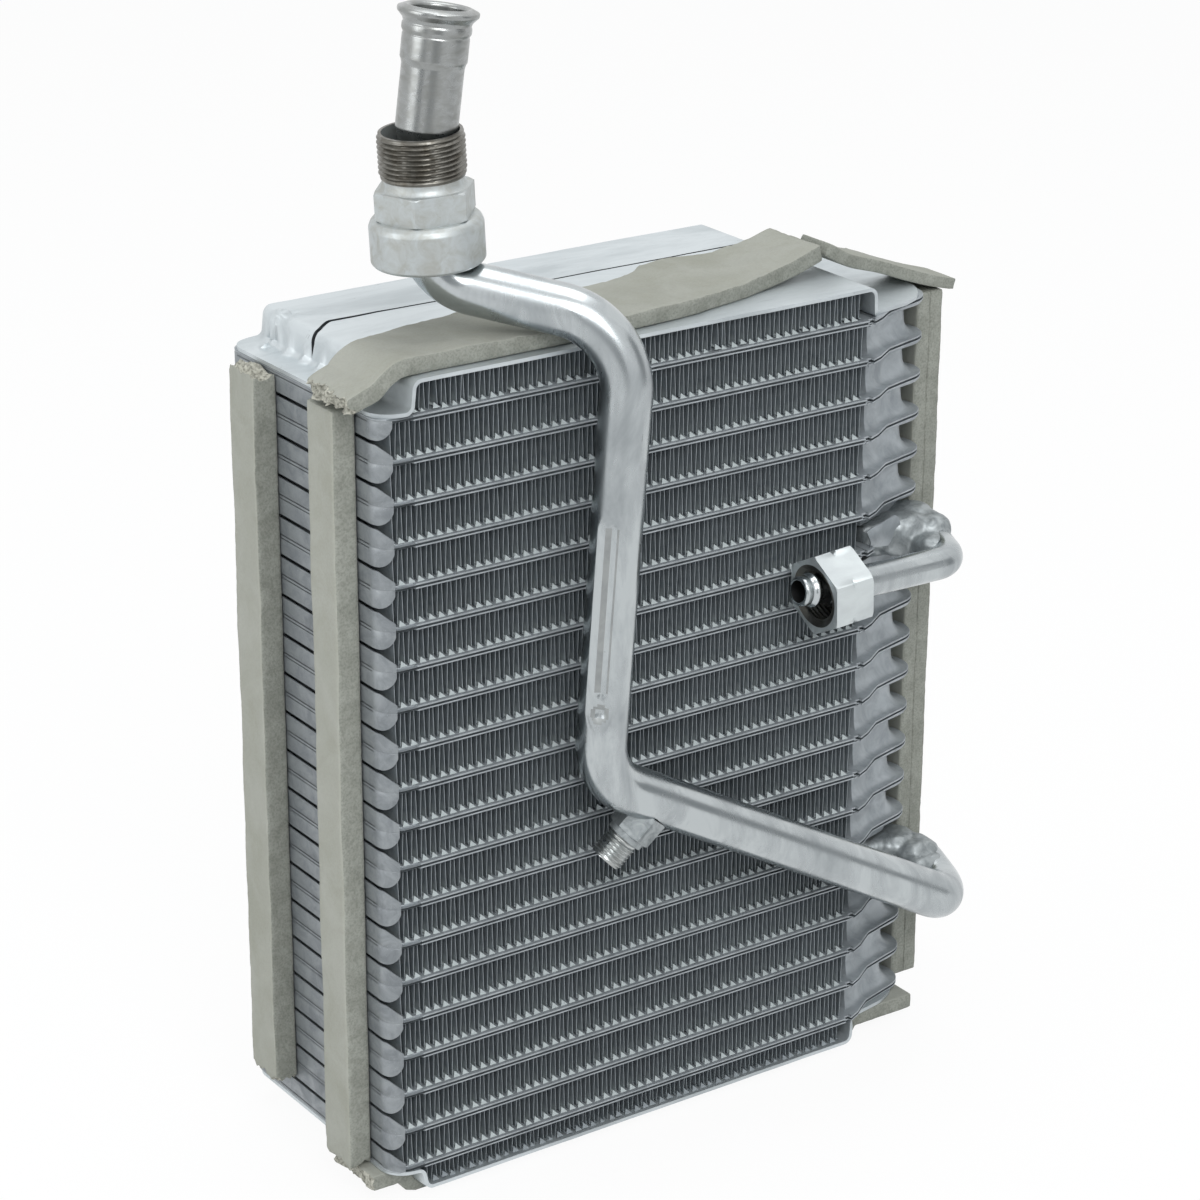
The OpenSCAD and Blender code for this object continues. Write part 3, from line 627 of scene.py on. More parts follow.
def repeated(unit: bpy.types.Object, place: Vector, finish: Finish, **sizes: float) -> bpy.types.Object:
    """Repeats a unit with Geometry Nodes and keeps the result as a plain mesh.

    Args:
        unit: The piece to repeat, made round the core's zero. It is used up.
        place: Where the first copy goes, in millimetres.
        finish: The finish of the copies.
        sizes: Values for the tree's inputs, named as in Socket.

    Returns:
        The finished piece.
    """
    unit.data.transform(Matrix.Translation(-ORIGIN * MM))
    tree = repeat_tree(finish)
    modifier = unit.modifiers.new("Repeat", "NODES")
    modifier.node_group = tree
    names = {item.name: item.identifier for item in tree.interface.items_tree if item.in_out == "INPUT"}
    for name, value in sizes.items():
        modifier[names[Socket[name].value]] = value
    depsgraph = bpy.context.evaluated_depsgraph_get()
    data = bpy.data.meshes.new_from_object(unit.evaluated_get(depsgraph))
    data.transform(Matrix.Translation((place + ORIGIN) * MM))
    name = unit.name
    bpy.data.objects.remove(unit)
    data.name = name
    made = bpy.data.objects.new(name, data)
    bpy.context.scene.collection.objects.link(made)
    return made


@dataclass
class Core:
    """Sizes that the whole core shares, in millimetres."""

    count: int = 20
    pitch: float = 13.0
    plate: float = 1.8
    depth: float = 90.0
    half: float = 107.8
    fin_left: float = -100.0
    fin_right: float = 72.2
    lowest: float = 9.0
    panel: float = 267.5
    end_sheet: float = 1.2

    @property
    def top(self) -> float:
        """Height of the highest plate's middle."""
        return self.lowest + (self.count - 1) * self.pitch

    def level(self, number: int) -> float:
        """Returns the height of a plate's middle, plates counted from the top."""
        return self.top - (number - 1) * self.pitch


@dataclass
class FinStack:
    """Corrugated fins between the plates, made as one wave and repeated."""

    core: Core
    wave: float = 3.38
    sheet: float = 0.13
    bend: float = 0.42
    splay: float = 0.2
    front: float = -42.5
    back: float = 42.5
    wobble: float = 0.004

    def centre_line(self, height: float) -> list[tuple[float, float]]:
        """Returns one wave's centre line, from the middle of one low crest to the next.

        Args:
            height: The fin's height, sheet included.

        Returns:
            Points across and up.
        """
        half, rise, turn = self.wave / 2, height / 2 - self.sheet / 2, self.bend
        wall = half / 2 + self.splay
        left = [(0.0, -rise)]
        for a in (0.35, 0.75, 1.15, 1.5):
            left.append((wall - turn + turn * math.sin(a), -rise + turn * (1 - math.cos(a))))
        right = [(half - x, -z) for x, z in reversed(left)]
        up = left + right
        down = [(self.wave - x, z) for x, z in reversed(up)]
        return up + down[1:]

    def unit(self, height: float) -> bpy.types.Object:
        """Builds one wave of sheet.

        Args:
            height: The fin's height.

        Returns:
            The wave, from the zero along X.
        """
        line = [Vector((x, z)) for x, z in self.centre_line(height)]
        above, below = [], []
        for k, point in enumerate(line):
            before, after = line[max(k - 1, 0)], line[min(k + 1, len(line) - 1)]
            along = (after - before).normalized() if k not in (0, len(line) - 1) else Vector((1, 0))
            normal = Vector((-along.y, along.x)) * self.sheet / 2
            above.append(point + normal)
            below.append(point - normal)
        section = above + below[::-1]
        mesh = Mesh()
        loops = [[(p.x, y, p.y) for p in section] for y in (self.front, self.back)]
        rows = mesh.loft(loops, FIN, turn=True)
        count = len(above)
        for row in rows:
            for k in range(count - 1):
                mesh.face([row[k], row[k + 1], row[-2 - k], row[-1 - k]], FIN)
        self.fillet(mesh, -height / 2)
        return mesh.make("fin_wave", 50)

    def fillet(self, mesh: Mesh, floor: float) -> None:
        """Adds the wedge of braze and flux at the front foot of a fold.

        Args:
            mesh: The wave.
            floor: Height of the plate that the fold stands on.
        """
        reach, wide, tall = 1.2, 1.3, 1.35
        left, right, top, back = mesh.add(
            [
                (-wide, self.front - reach, floor),
                (wide, self.front - reach, floor),
                (0.0, self.front + 0.3, floor + tall),
                (0.0, self.front + 0.3, floor),
            ]
        )
        for corners in ((left, right, top), (left, top, back), (right, back, top), (left, back, right)):
            mesh.face(corners, FIN)

    def layer(self, name: str, left: float, waves: int, low: float, high: float, up: int, seed: int) -> None:
        """Repeats a wave into one layer or more and seats it.

        Args:
            name: The piece's name.
            left: Where the waves start.
            waves: How many waves there are.
            low: Height of the lowest layer's foot.
            high: Height of its top.
            up: How many layers.
            seed: Seed of the waves' wobble.
        """
        nodes = {"fins_between": range(2, 21), "fins_top": [1], "fins_bottom": [21]}[name]
        unit = self.unit(high - low)
        unit.name = name
        made = repeated(
            unit,
            Vector((left, 0, (low + high) / 2)),
            FIN,
            ALONG=waves,
            STEP=self.wave * MM,
            UP=up,
            RISE=self.core.pitch * MM,
            WOBBLE=self.wobble * (1 if up > 1 else 3),
            SEED=seed,
        )
        settle(made, CORE, "fin_aluminium", *[f"fin_{k:02d}" for k in nodes])

    def build(self) -> None:
        """Builds all the fins."""
        core = self.core
        half = core.plate / 2
        gaps = core.count - 1
        floor, ceiling = core.lowest + half, core.lowest + core.pitch - half
        self.layer("fins_between", core.fin_left - 3.6, 52, floor, ceiling, gaps, 4)
        self.layer("fins_top", core.fin_left + 5.2, 49, core.top + half, core.panel - core.end_sheet, 1, 5)
        self.layer("fins_bottom", core.fin_left + 5.2, 49, core.end_sheet, core.lowest - half, 1, 6)


@dataclass
class TubePlates:
    """Stamped tube plates, each a brazed pair of sheets with tank cups and an upright end tab."""

    core: Core
    corner: float = 7.0
    tab_half: float = 5.92
    tab_sheet: float = 0.6
    cup_centre: tuple[float, float] = (89.5, -18.5)
    spokes: int = 44
    line_plates: tuple[int, int] = (7, 16)
    lap_end: float = -96.4

    def front(self) -> list[tuple[float, float]]:
        """Returns the front half of the plate's plan, from its left end to the tank's valley."""
        h, y0 = self.core.half, -self.core.depth / 2
        corner = arc((-h + self.corner, y0 + self.corner), self.corner, 180, 270, 8)
        notch_left, notch_right = self.core.fin_right, self.core.fin_right + 2.2
        web = [(notch_left, y0), (notch_left + 0.3, y0 + 1.3), (notch_right - 0.3, y0 + 1.3), (notch_right, y0)]
        web += [(74.9, -44.9), (79.0, -43.0), (83.0, -40.3), (86.5, -38.0), (92.0, -36.4), (97.0, -35.0)]
        tip = arc((97.8, -24.5), 10.0, -78, 38, 11)
        valley = [(104.6, -15.6), (103.4, -11.4), (101.6, -7.6), (100.4, -4.0), (100.0, -1.2)]
        return corner + [(self.lap_end - 0.2, y0), (self.lap_end + 0.2, y0)] + web + tip + valley

    def plan(self) -> list[tuple[float, float]]:
        """Returns the whole plan, anticlockwise."""
        half = self.front()
        return half + mirrored(half)

    def cut_plan(self) -> list[tuple[float, float]]:
        """Returns the plan of a plate whose front flange gave way to a line's boss."""
        half = self.front()
        stop = next(k for k, p in enumerate(half) if p[0] > 79.5)
        side = [(79.0, -40.5), (77.5, -34.0), (77.0, -24.0), (78.5, -8.0), (86.0, -2.0), (97.8, -1.6)]
        return half[:stop] + side + mirrored(half)

    def sheets(self, mesh: Mesh, z: float, plan: Sequence) -> None:
        """Adds the plate's two flat sheets, with the seam between them.

        Args:
            mesh: The piece.
            z: Height of the plate's middle.
            plan: Its outline.
        """
        edge = [(0.7, 0.9), (0.16, 0.86), (0.0, 0.7), (0.0, 0.44), (0.1, 0.34), (0.9, 0.3)]
        edge += [(d, -h) for d, h in reversed(edge)]
        loops = []
        for d, h in edge:
            near, deep = inset(plan, d), inset(plan, d + 1.3)
            thin = abs(h) > 0.4
            loop = [b if thin and -104.5 < a[0] < self.lap_end else a for a, b in zip(near, deep)]
            loops.append([(x, y, z + h) for x, y in loop])
        upper = mesh.loft(loops[:5], BRAZED, turn=True)
        # The recessed lap between the two sheets takes the dark painted shade.
        mesh.loft(loops[4:8], LAP_SHADE, turn=True)
        lower = mesh.loft(loops[7:], BRAZED, turn=True)
        mesh.face(upper[0], BRAZED)
        mesh.face(lower[-1][::-1], BRAZED)

    def tab(self, mesh: Mesh, z: float, low: bool = True, high: bool = True) -> None:
        """Adds the upright tab round the plate's left end.

        Args:
            mesh: The piece.
            z: Height of the plate's middle.
            low: Whether it has its lower half.
            high: Whether it has its upper half.
        """
        h, r, half = self.core.half, self.corner, self.core.depth / 2
        plan = arc((-h + r, -half + r), r, 250, 180, 16)
        for k in range(1, 8):
            plan.append((-h, -half + r + (self.core.depth - 2 * r) * k / 8))
        plan += [(x, -y) for x, y in reversed(arc((-h + r, -half + r), r, 250, 180, 16))]
        steps = [math.hypot(b[0] - a[0], b[1] - a[1]) for a, b in zip(plan, plan[1:])]
        whole, walked = sum(steps), 0.0
        heights = [-1.0, -0.985, -0.9, -0.5, -0.06, -0.03, 0.03, 0.06, 0.5, 0.9, 0.985, 1.0]
        if not high:
            heights = heights[:7] + [0.14]
        if not low:
            heights = [-0.14] + heights[5:]
        outer, inner = [], []
        for k, (x, y) in enumerate(plan):
            over = max(self.tab_half - min(walked, whole - walked) - 0.3, 0.0)
            walked += steps[k] if k < len(steps) else 0.0
            below = math.sqrt(max(self.tab_half**2 - over**2, 0.16))
            above = self.tab_half * (1 - 0.62 * (over / self.tab_half) ** 1.3)
            before, after = Vector(plan[max(k - 1, 0)]), Vector(plan[min(k + 1, len(plan) - 1)])
            along = (after - before).normalized()
            inward = Vector((along.y, -along.x))
            column, back = [], []
            for share in heights:
                rounding = 0.22 if abs(share) > 0.99 else (0.06 if abs(share) > 0.98 else 0.0)
                seam = 0.12 if abs(share) < 0.04 else 0.0
                tall = above if share > 0 else below
                at = Vector((x, y)) + inward * (rounding + seam)
                column.append((at.x, at.y, z + share * tall))
                at = Vector((x, y)) + inward * (self.tab_sheet - (rounding if rounding else 0.0))
                back.append((at.x, at.y, z + share * tall))
            outer.append(column)
            inner.append(back)
        rims = [a + b[::-1] for a, b in zip(outer, inner)]
        rows = mesh.loft(rims, TAB)
        for row in (rows[0], rows[-1]):
            count = len(heights)
            for k in range(count - 1):
                mesh.face([row[k], row[k + 1], row[-2 - k], row[-1 - k]], TAB)

    def spoke_loop(self, outline: Sequence, side: int) -> list[tuple[float, float]]:
        """Samples an outline at even angles about a cup's centre.

        Args:
            outline: A closed plan round the front cup's centre.
            side: -1 for the front cup, 1 for the back one.

        Returns:
            One point for each spoke.
        """
        cx, cy = self.cup_centre
        found = []
        for k in range(self.spokes):
            a = 2 * math.pi * k / self.spokes
            dx, dy = math.cos(a), math.sin(a)
            best = 0.0
            for (x0, y0), (x1, y1) in zip(outline, list(outline[1:]) + [outline[0]]):
                ex, ey = x1 - x0, y1 - y0
                det = dx * -ey + dy * ex
                if abs(det) < 1e-9:
                    continue
                reach = ((x0 - cx) * -ey + (y0 - cy) * ex) / det
                share = (dx * (y0 - cy) - dy * (x0 - cx)) / det
                if reach > best and -1e-6 <= share <= 1 + 1e-6:
                    best = reach
            found.append((cx + dx * best, -side * (cy + dy * best)))
        return found

    def cup(self, mesh: Mesh, z: float, side: int, up: int, lined: bool) -> None:
        """Adds one half of a hollow cup: a tall bell above its plate, a short lip below it.

        Args:
            mesh: The piece.
            z: Height of the plate's middle.
            side: -1 for the front cup, 1 for the back one.
            up: 1 above the plate, -1 below it.
            lined: Whether it meets a line's boss, at half the pitch.
        """
        foot = [(73.4, -43.2), (79.0, -41.2), (86.5, -36.4), (92.0, -34.9)]
        foot += arc((97.8, -24.5), 9.0, -80, 30, 8) + [(103.6, -14.0), (101.6, -8.4), (98.0, -3.6), (90.0, -1.9)]
        foot += [(80.0, -1.2), (73.4, -1.2)]
        waist = [(76.2, -37.2), (80.0, -36.2), (87.0, -32.8), (93.0, -31.0)]
        waist += arc((96.2, -24.6), 5.2, -75, 0, 6) + [(101.0, -15.0), (98.8, -9.4), (95.0, -5.4), (88.0, -4.0)]
        waist += [(80.0, -3.6), (76.2, -3.8)]
        low, high = self.spoke_loop(foot, side), self.spoke_loop(waist, side)
        lip, shoulder = 3.2, 5.0
        meet = self.core.pitch / 2 - self.core.plate / 2 if lined else self.core.pitch - self.core.plate - lip
        if up > 0:
            angles = [math.pi / 2 * k / 9 for k in range(10)]
            steps = [(math.sin(a), shoulder * (1 - math.cos(a))) for a in angles]
            steps += [(1.03, (shoulder + meet) / 2), (1.05, meet)]
        else:
            steps = [(-0.16, 0.0), (-0.14, 0.55), (-0.04, 0.95), (0.16, 1.2), (0.45, 1.5)]
            steps += [(0.72, 2.0), (0.88, 2.6), (0.96, 2.95), (1.05, lip)]
            steps += [(1.03, (lip + meet) / 2), (1.05, meet)] if lined else []
        loops = []
        for share, climb in steps:
            height = z + up * (self.core.plate / 2 + climb)
            pairs = zip(low, high)
            loops.append([(a + (c - a) * share, b + (d - b) * share, height) for (a, b), (c, d) in pairs])
        mesh.loft(loops, BRAZED, turn=(up > 0) == (side < 0))

    def build(self) -> None:
        """Builds the plates in three pieces, so that none is too heavy."""
        groups = {
            "tube_plates_high": range(1, 7),
            "tube_plates_mid": range(7, 14),
            "tube_plates_low": range(14, 21),
        }
        for name, numbers in groups.items():
            mesh = Mesh()
            for number in numbers:
                z = self.core.level(number)
                lined = number in self.line_plates
                self.sheets(mesh, z, self.cut_plan() if lined else self.plan())
                self.tab(mesh, z, number < self.core.count, number > 1)
                for side in (1,) if lined else (-1, 1):
                    for up in (1, -1):
                        if (number, up) not in ((1, 1), (self.core.count, -1)):
                            self.cup(mesh, z, side, up, side < 0 and number - up in self.line_plates)
            made = mesh.make(name, 38)
            settle(made, CORE, "bare_aluminium", *[f"tube_plate_{k:02d}" for k in numbers])


@dataclass
class EndPlates:
    """Stamped end plates: a raised panel between two steps and two flanges."""

    core: Core
    step_in: float = 3.6
    bend: float = 2.6
    slit_y: float = 18.7
    slit_foot_y: float = 10.4
    slit: float = 0.95
    gussets: tuple[float, ...] = (23.0, 13.5, 4.0, -6.0, -17.0, -28.0)

    def section(self, rise: float) -> list[tuple[float, float]]:
        """Returns the middle line of the sheet from left to right, rounded at its bends.

        Args:
            rise: Height of the panel's middle above the flange's.

        Returns:
            Points across and up.
        """
        left, right = self.core.fin_left + self.step_in, self.core.fin_right + self.step_in - 1.7
        r = min(self.bend, rise / 2 - 0.2)
        line = [(-self.core.half + 0.05 + 7.4 * (1 - math.cos(math.pi * k / 18)), 0.0) for k in range(10)]
        line += arc((left - r - 0.6, r), r, -80, -6, 7)
        line += arc((left + r - 0.1, rise - r), r, 174, 90, 8)
        line += [(left + 3.2 + 0.6 * k, rise) for k in range(1, 14)]
        line += [(left + 12.0 + (right - left - 24.0) * k / 20, rise) for k in range(21)]
        line += [(right - 6.0, rise)]
        line += arc((right - r + 0.3, rise - r), r, 90, 6, 7)
        line += arc((right + r + 0.8, r), r, 186, 270, 7)
        line += [(right + r + 1.4 + k * 2.4, 0.0) for k in range(8)]
        end = self.core.half - 0.3
        start = line[-1][0]
        line += [(start + (end - start) * math.sin(math.pi * k / 20), 0.0) for k in range(1, 11)]
        return line

    def trim(self, x: float) -> float:
        """Returns how far the plate reaches to the front and back at a place along it."""
        half = self.core.depth / 2
        left = -self.core.half + 9.0
        if x < left:
            return half - 9.0 + math.sqrt(max(81.0 - (left - x) ** 2, 0.0))
        outline = ((74.6, half), (76.6, 42.6), (79.0, 41.0), (92.0, 38.6), (98.5, 35.6))
        outline += ((102.5, 31.8), (105.5, 27.4), (107.0, 22.0), (107.9, 14.0))
        for (x0, y0), (x1, y1) in zip(outline, outline[1:]):
            if x0 <= x <= x1:
                return y0 + (y1 - y0) * (x - x0) / (x1 - x0)
        return half if x < 74.6 else 14.0

    def cut(self, x: float, z: float, rise: float) -> tuple[float, float]:
        """Returns where the slit runs at a place along the plate, and half its width there."""
        turn = min(max((-86.0 - x) / 10.5, 0.0), 1.0)
        middle = self.slit_y + (self.slit_foot_y - self.slit_y) * turn**1.5 * (1.6 - 0.6 * turn)
        open_here = z > rise - 6.3 and x < 71.0
        wide = self.slit * (1.0 + 0.9 * min(max((-60.0 - x) / 30.0, 0.0), 1.0))
        return middle, wide / 2 if open_here else 0.0

    def press(self, x: float, y: float, z: float, rise: float) -> Vector:
        """Returns how far stamping and rough handling moved the sheet at a place, in millimetres."""
        moved = Vector((0.0, 0.0, 0.0))
        left = self.core.fin_left + self.step_in
        near = math.exp(-(((x - left) / 7.0) ** 4))
        moved.x += 2.4 * near * (max(0.0, abs(y) - 37.0) / 8.0) ** 2 * (1 if y > 0 else 0.3)
        for middle in self.gussets:
            away = ((y - middle) / 1.5) ** 2 + ((x - left + 1.6) / 2.0) ** 2 + ((z - 1.4) / 2.2) ** 2
            moved += Vector((-1.3, 0.0, 1.1)) * math.exp(-away)
        bruise = near * math.exp(-(((y - 33.0) / 4.5) ** 2)) * (1 if rise > 9 else 0)
        for k in range(3):
            moved[k] += 1.5 * bruise * noise.noise(Vector((x * 0.35, y * 0.45, z * 0.4 + 9.0 * k)))
        if z > rise - 0.1:
            moved.z += 0.22 * noise.noise(Vector((x * 0.02, y * 0.05, 3.0)))
            moved.z += 0.1 * noise.noise(Vector((x * 0.11, y * 0.15, 8.0)))
        return moved

    def sheet(self, mesh: Mesh, base: float, rise: float, up: int, slit: bool) -> None:
        """Adds one end plate.

        Args:
            mesh: The piece.
            base: Height of its flange's middle.
            rise: Rise of its panel.
            up: 1 for the top one, -1 for the bottom one.
            slit: Whether it is slit along its length.
        """
        line = self.section(rise)
        thick = self.core.end_sheet / 2
        offsets = []
        for k in range(len(line)):
            before, after = Vector(line[max(k - 1, 0)]), Vector(line[min(k + 1, len(line) - 1)])
            along = (after - before).normalized()
            offsets.append(Vector((-along.y, along.x)) * thick)
        for band in ((-1, 1) if slit else (0,)):
            loops = []
            steps = {-1: 50, 1: 26, 0: 76}[band]
            for (x, z), off in zip(line, offsets):
                reach = self.trim(x)
                middle, gap = self.cut(x, z, rise)
                y0 = min(middle + gap, reach) if band == 1 else -reach
                y1 = min(middle - gap, reach) if band == -1 else reach
                above, below = [], []
                for n in range(steps + 1):
                    y = y0 + (y1 - y0) * n / steps
                    d = self.press(x, y, z, rise)
                    above.append((x + off.x + d.x, y + d.y, base + up * (z + off.y + d.z)))
                    below.append((x - off.x + d.x, y + d.y, base + up * (z - off.y + d.z)))
                loops.append(above + below[::-1])
            first, count = len(mesh.faces), 2 * (steps + 1)
            rows = mesh.loft(loops, PANEL)
            # The slit's two walls take the dark painted shade.
            if band:
                for pair in range(len(loops) - 1):
                    mesh.refinish(first + pair * count + (steps if band == -1 else count - 1), SLIT_SHADE)
            for row in (rows[0], rows[-1]):
                for k in range(steps):
                    mesh.face([row[k], row[k + 1], row[-2 - k], row[-1 - k]], PANEL)

    def build(self) -> None:
        """Builds both end plates."""
        half = self.core.plate / 2 + self.core.end_sheet / 2
        top, bottom = Mesh(), Mesh()
        base = self.core.top + half
        self.sheet(top, base, self.core.panel - self.core.end_sheet / 2 - base, 1, True)
        base = self.core.lowest - half
        self.sheet(bottom, base, base - self.core.end_sheet / 2, -1, False)
        settle(top.make("top_end_sheet", 40), CORE, "bare_aluminium", "top_end_plate")
        settle(bottom.make("bottom_end_sheet", 40), CORE, "bare_aluminium", "bottom_end_plate")


@dataclass
class Route:
    """A pipe's route: corners joined by bends, walked in small steps."""

    corners: Sequence[tuple[float, float, float]]
    bends: Sequence[float]
    step: float = 1.2

    def points(self) -> Loop:
        """Returns points along the rounded route."""
        corners = [Vector(c) for c in self.corners]
        line = [corners[0]]
        for k, radius in enumerate(self.bends, 1):
            before, here, after = corners[k - 1], corners[k], corners[k + 1]
            first, second = (here - before).normalized(), (after - here).normalized()
            angle = first.angle(second)
            reach = radius * math.tan(angle / 2)
            inward = (second - first * second.dot(first)).normalized()
            start = here - first * reach
            centre = start + inward * radius
            self.straight(line, start)
            steps = max(int(angle * radius / self.step), 4)
            for n in range(1, steps + 1):
                a = angle * n / steps
                line.append(centre - inward * radius * math.cos(a) + first * radius * math.sin(a))
        self.straight(line, corners[-1])
        return line

    def straight(self, line: Loop, end: Vector) -> None:
        """Extends a line with even steps to an end.

        Args:
            line: The line so far.
            end: The new last point.
        """
        start = line[-1].copy()
        steps = max(int((end - start).length / self.step), 1)
        line += [start.lerp(end, k / steps) for k in range(1, steps + 1)]


Profile = Callable[[float, Vector, Vector], float]


@dataclass
class Sweep:
    """A round skin swept along a line, with a radius that may change along it and round it."""

    line: Loop
    first: Vector = field(default_factory=lambda: Vector((0.0, -1.0, 0.0)))
    sides: int = 48

    def loops(self, radius: Profile) -> list[Loop]:
        """Returns the skin's loops.

        Args:
            radius: The radius, from the distance along the line, the line's place there and the
                direction that the point faces.

        Returns:
            One loop for each point of the line.
        """
        found, distance = [], 0.0
        side = self.first
        for k, point in enumerate(self.line):
            before, after = self.line[max(k - 1, 0)], self.line[min(k + 1, len(self.line) - 1)]
            along = (after - before).normalized()
            side = (side - along * side.dot(along)).normalized()
            other = along.cross(side)
            distance += (point - before).length
            loop = []
            for n in range(self.sides):
                a = 2 * math.pi * n / self.sides
                outward = side * math.cos(a) + other * math.sin(a)
                loop.append(point + outward * radius(distance, point, outward))
            found.append(loop)
        return found

    def pipe(self, mesh: Mesh, radius: Profile, bore: float, finish: Finish, inner: Finish) -> None:
        """Adds a pipe with its bore and its end faces.

        Args:
            mesh: The piece.
            radius: The outer radius.
            bore: The inner radius, less where the pipe is pressed in.
            finish: The outer finish.
            inner: The bore's finish.
        """
        thinnest = 0.8
        outside = self.loops(radius)
        inside = self.loops(lambda *spot: min(bore, radius(*spot) - thinnest))
        mesh.loft(outside, finish)
        mesh.loft(inside, inner, turn=True)
        for k in (0, -1):
            mesh.loft([outside[k], inside[k]], finish, turn=k == 0)


@dataclass
class Turning:
    """A turned piece: rings about an axis, whose radius may also follow a hexagon or a thread."""

    at: Vector
    axis: Vector
    sides: int = 96

    def frame(self) -> tuple[Vector, Vector, Vector]:
        """Returns two directions across the axis, and the axis."""
        along = self.axis.normalized()
        ref = Vector((0, 0, 1)) if abs(along.z) < 0.9 else Vector((0, 1, 0))
        across = ref.cross(along).normalized()
        return across, along.cross(across), along

    def ring(self, height: float, radius: Callable[[float], float]) -> Loop:
        """Returns one ring, its radius given by the angle."""
        x, y, z = self.frame()
        angles = [2 * math.pi * k / self.sides for k in range(self.sides)]
        return [self.at + z * height + (x * math.cos(a) + y * math.sin(a)) * radius(a) for a in angles]

    def rings(self, profile: Sequence[tuple[float, float]]) -> list[Loop]:
        """Returns round rings for pairs of radius and height."""
        return [self.ring(height, lambda a, r=radius: r) for radius, height in profile]

    def hexagon(self, flats: float, turn: float) -> Callable[[float], float]:
        """Returns a hexagon's radius by angle, from its width across flats and its turn in degrees."""

        def radius(angle: float) -> float:
            """Radius of the hexagon at an angle."""
            part = (angle - math.radians(turn)) % (math.pi / 3) - math.pi / 6
            return flats / 2 / math.cos(part)

        return radius

    def chamfered(
        self, flats: float, turn: float, low: float, high: float, round_off: float, notch: float = 0.0
    ) -> list[Loop]:
        """Returns the rings of a hexagon whose corners are turned off at both ends.

        Args:
            flats: Width across flats.
            turn: Its turn, in degrees.
            low: Height of its foot.
            high: Height of its top.
            round_off: Radius that the turning leaves at its ends.
            notch: Depth of the nick in each corner at mid height.

        Returns:
            The rings from foot to top.
        """
        shape = self.hexagon(flats, turn)
        corner = flats / math.sqrt(3)
        slope = 0.55
        depth = (corner - round_off) * slope
        middle = (low + high) / 2
        steps = [low + depth * k / 4 for k in range(5)] + [high - depth * k / 4 for k in range(4, -1, -1)]
        if notch:
            steps[5:5] = [middle - notch, middle, middle + notch]
        rings = []
        for height in steps:
            cone = round_off + min(height - low, high - height) / slope
            if height == middle:
                cone = corner - notch
            rings.append(self.ring(height, lambda a, c=cone: min(shape(a), c)))
        return rings

    def thread(self, radius: float, pitch: float, depth: float, low: float, high: float) -> list[Loop]:
        """Returns the rings of a thread.

        Args:
            radius: Its outer radius.
            pitch: Its pitch.
            depth: Depth of its grooves.
            low: Where it starts.
            high: Where it ends.

        Returns:
            The rings, eight to a pitch.
        """
        count = int((high - low) / pitch * 8)
        rings = []
        for k in range(count + 1):
            height = low + (high - low) * k / count
            fade = min(1.0, (height - low) / pitch, (high - height) / pitch)

            def cut(angle: float, h: float = height, f: float = fade) -> float:
                """Radius of the thread at an angle."""
                phase = (h / pitch - angle / (2 * math.pi)) % 1.0
                groove = depth * (1 - abs(2 * phase - 1)) * max(f, 0.0)
                return radius - groove - (0.6 * (1 - f) if f < 1 else 0.0)

            rings.append(self.ring(height, cut))
        return rings


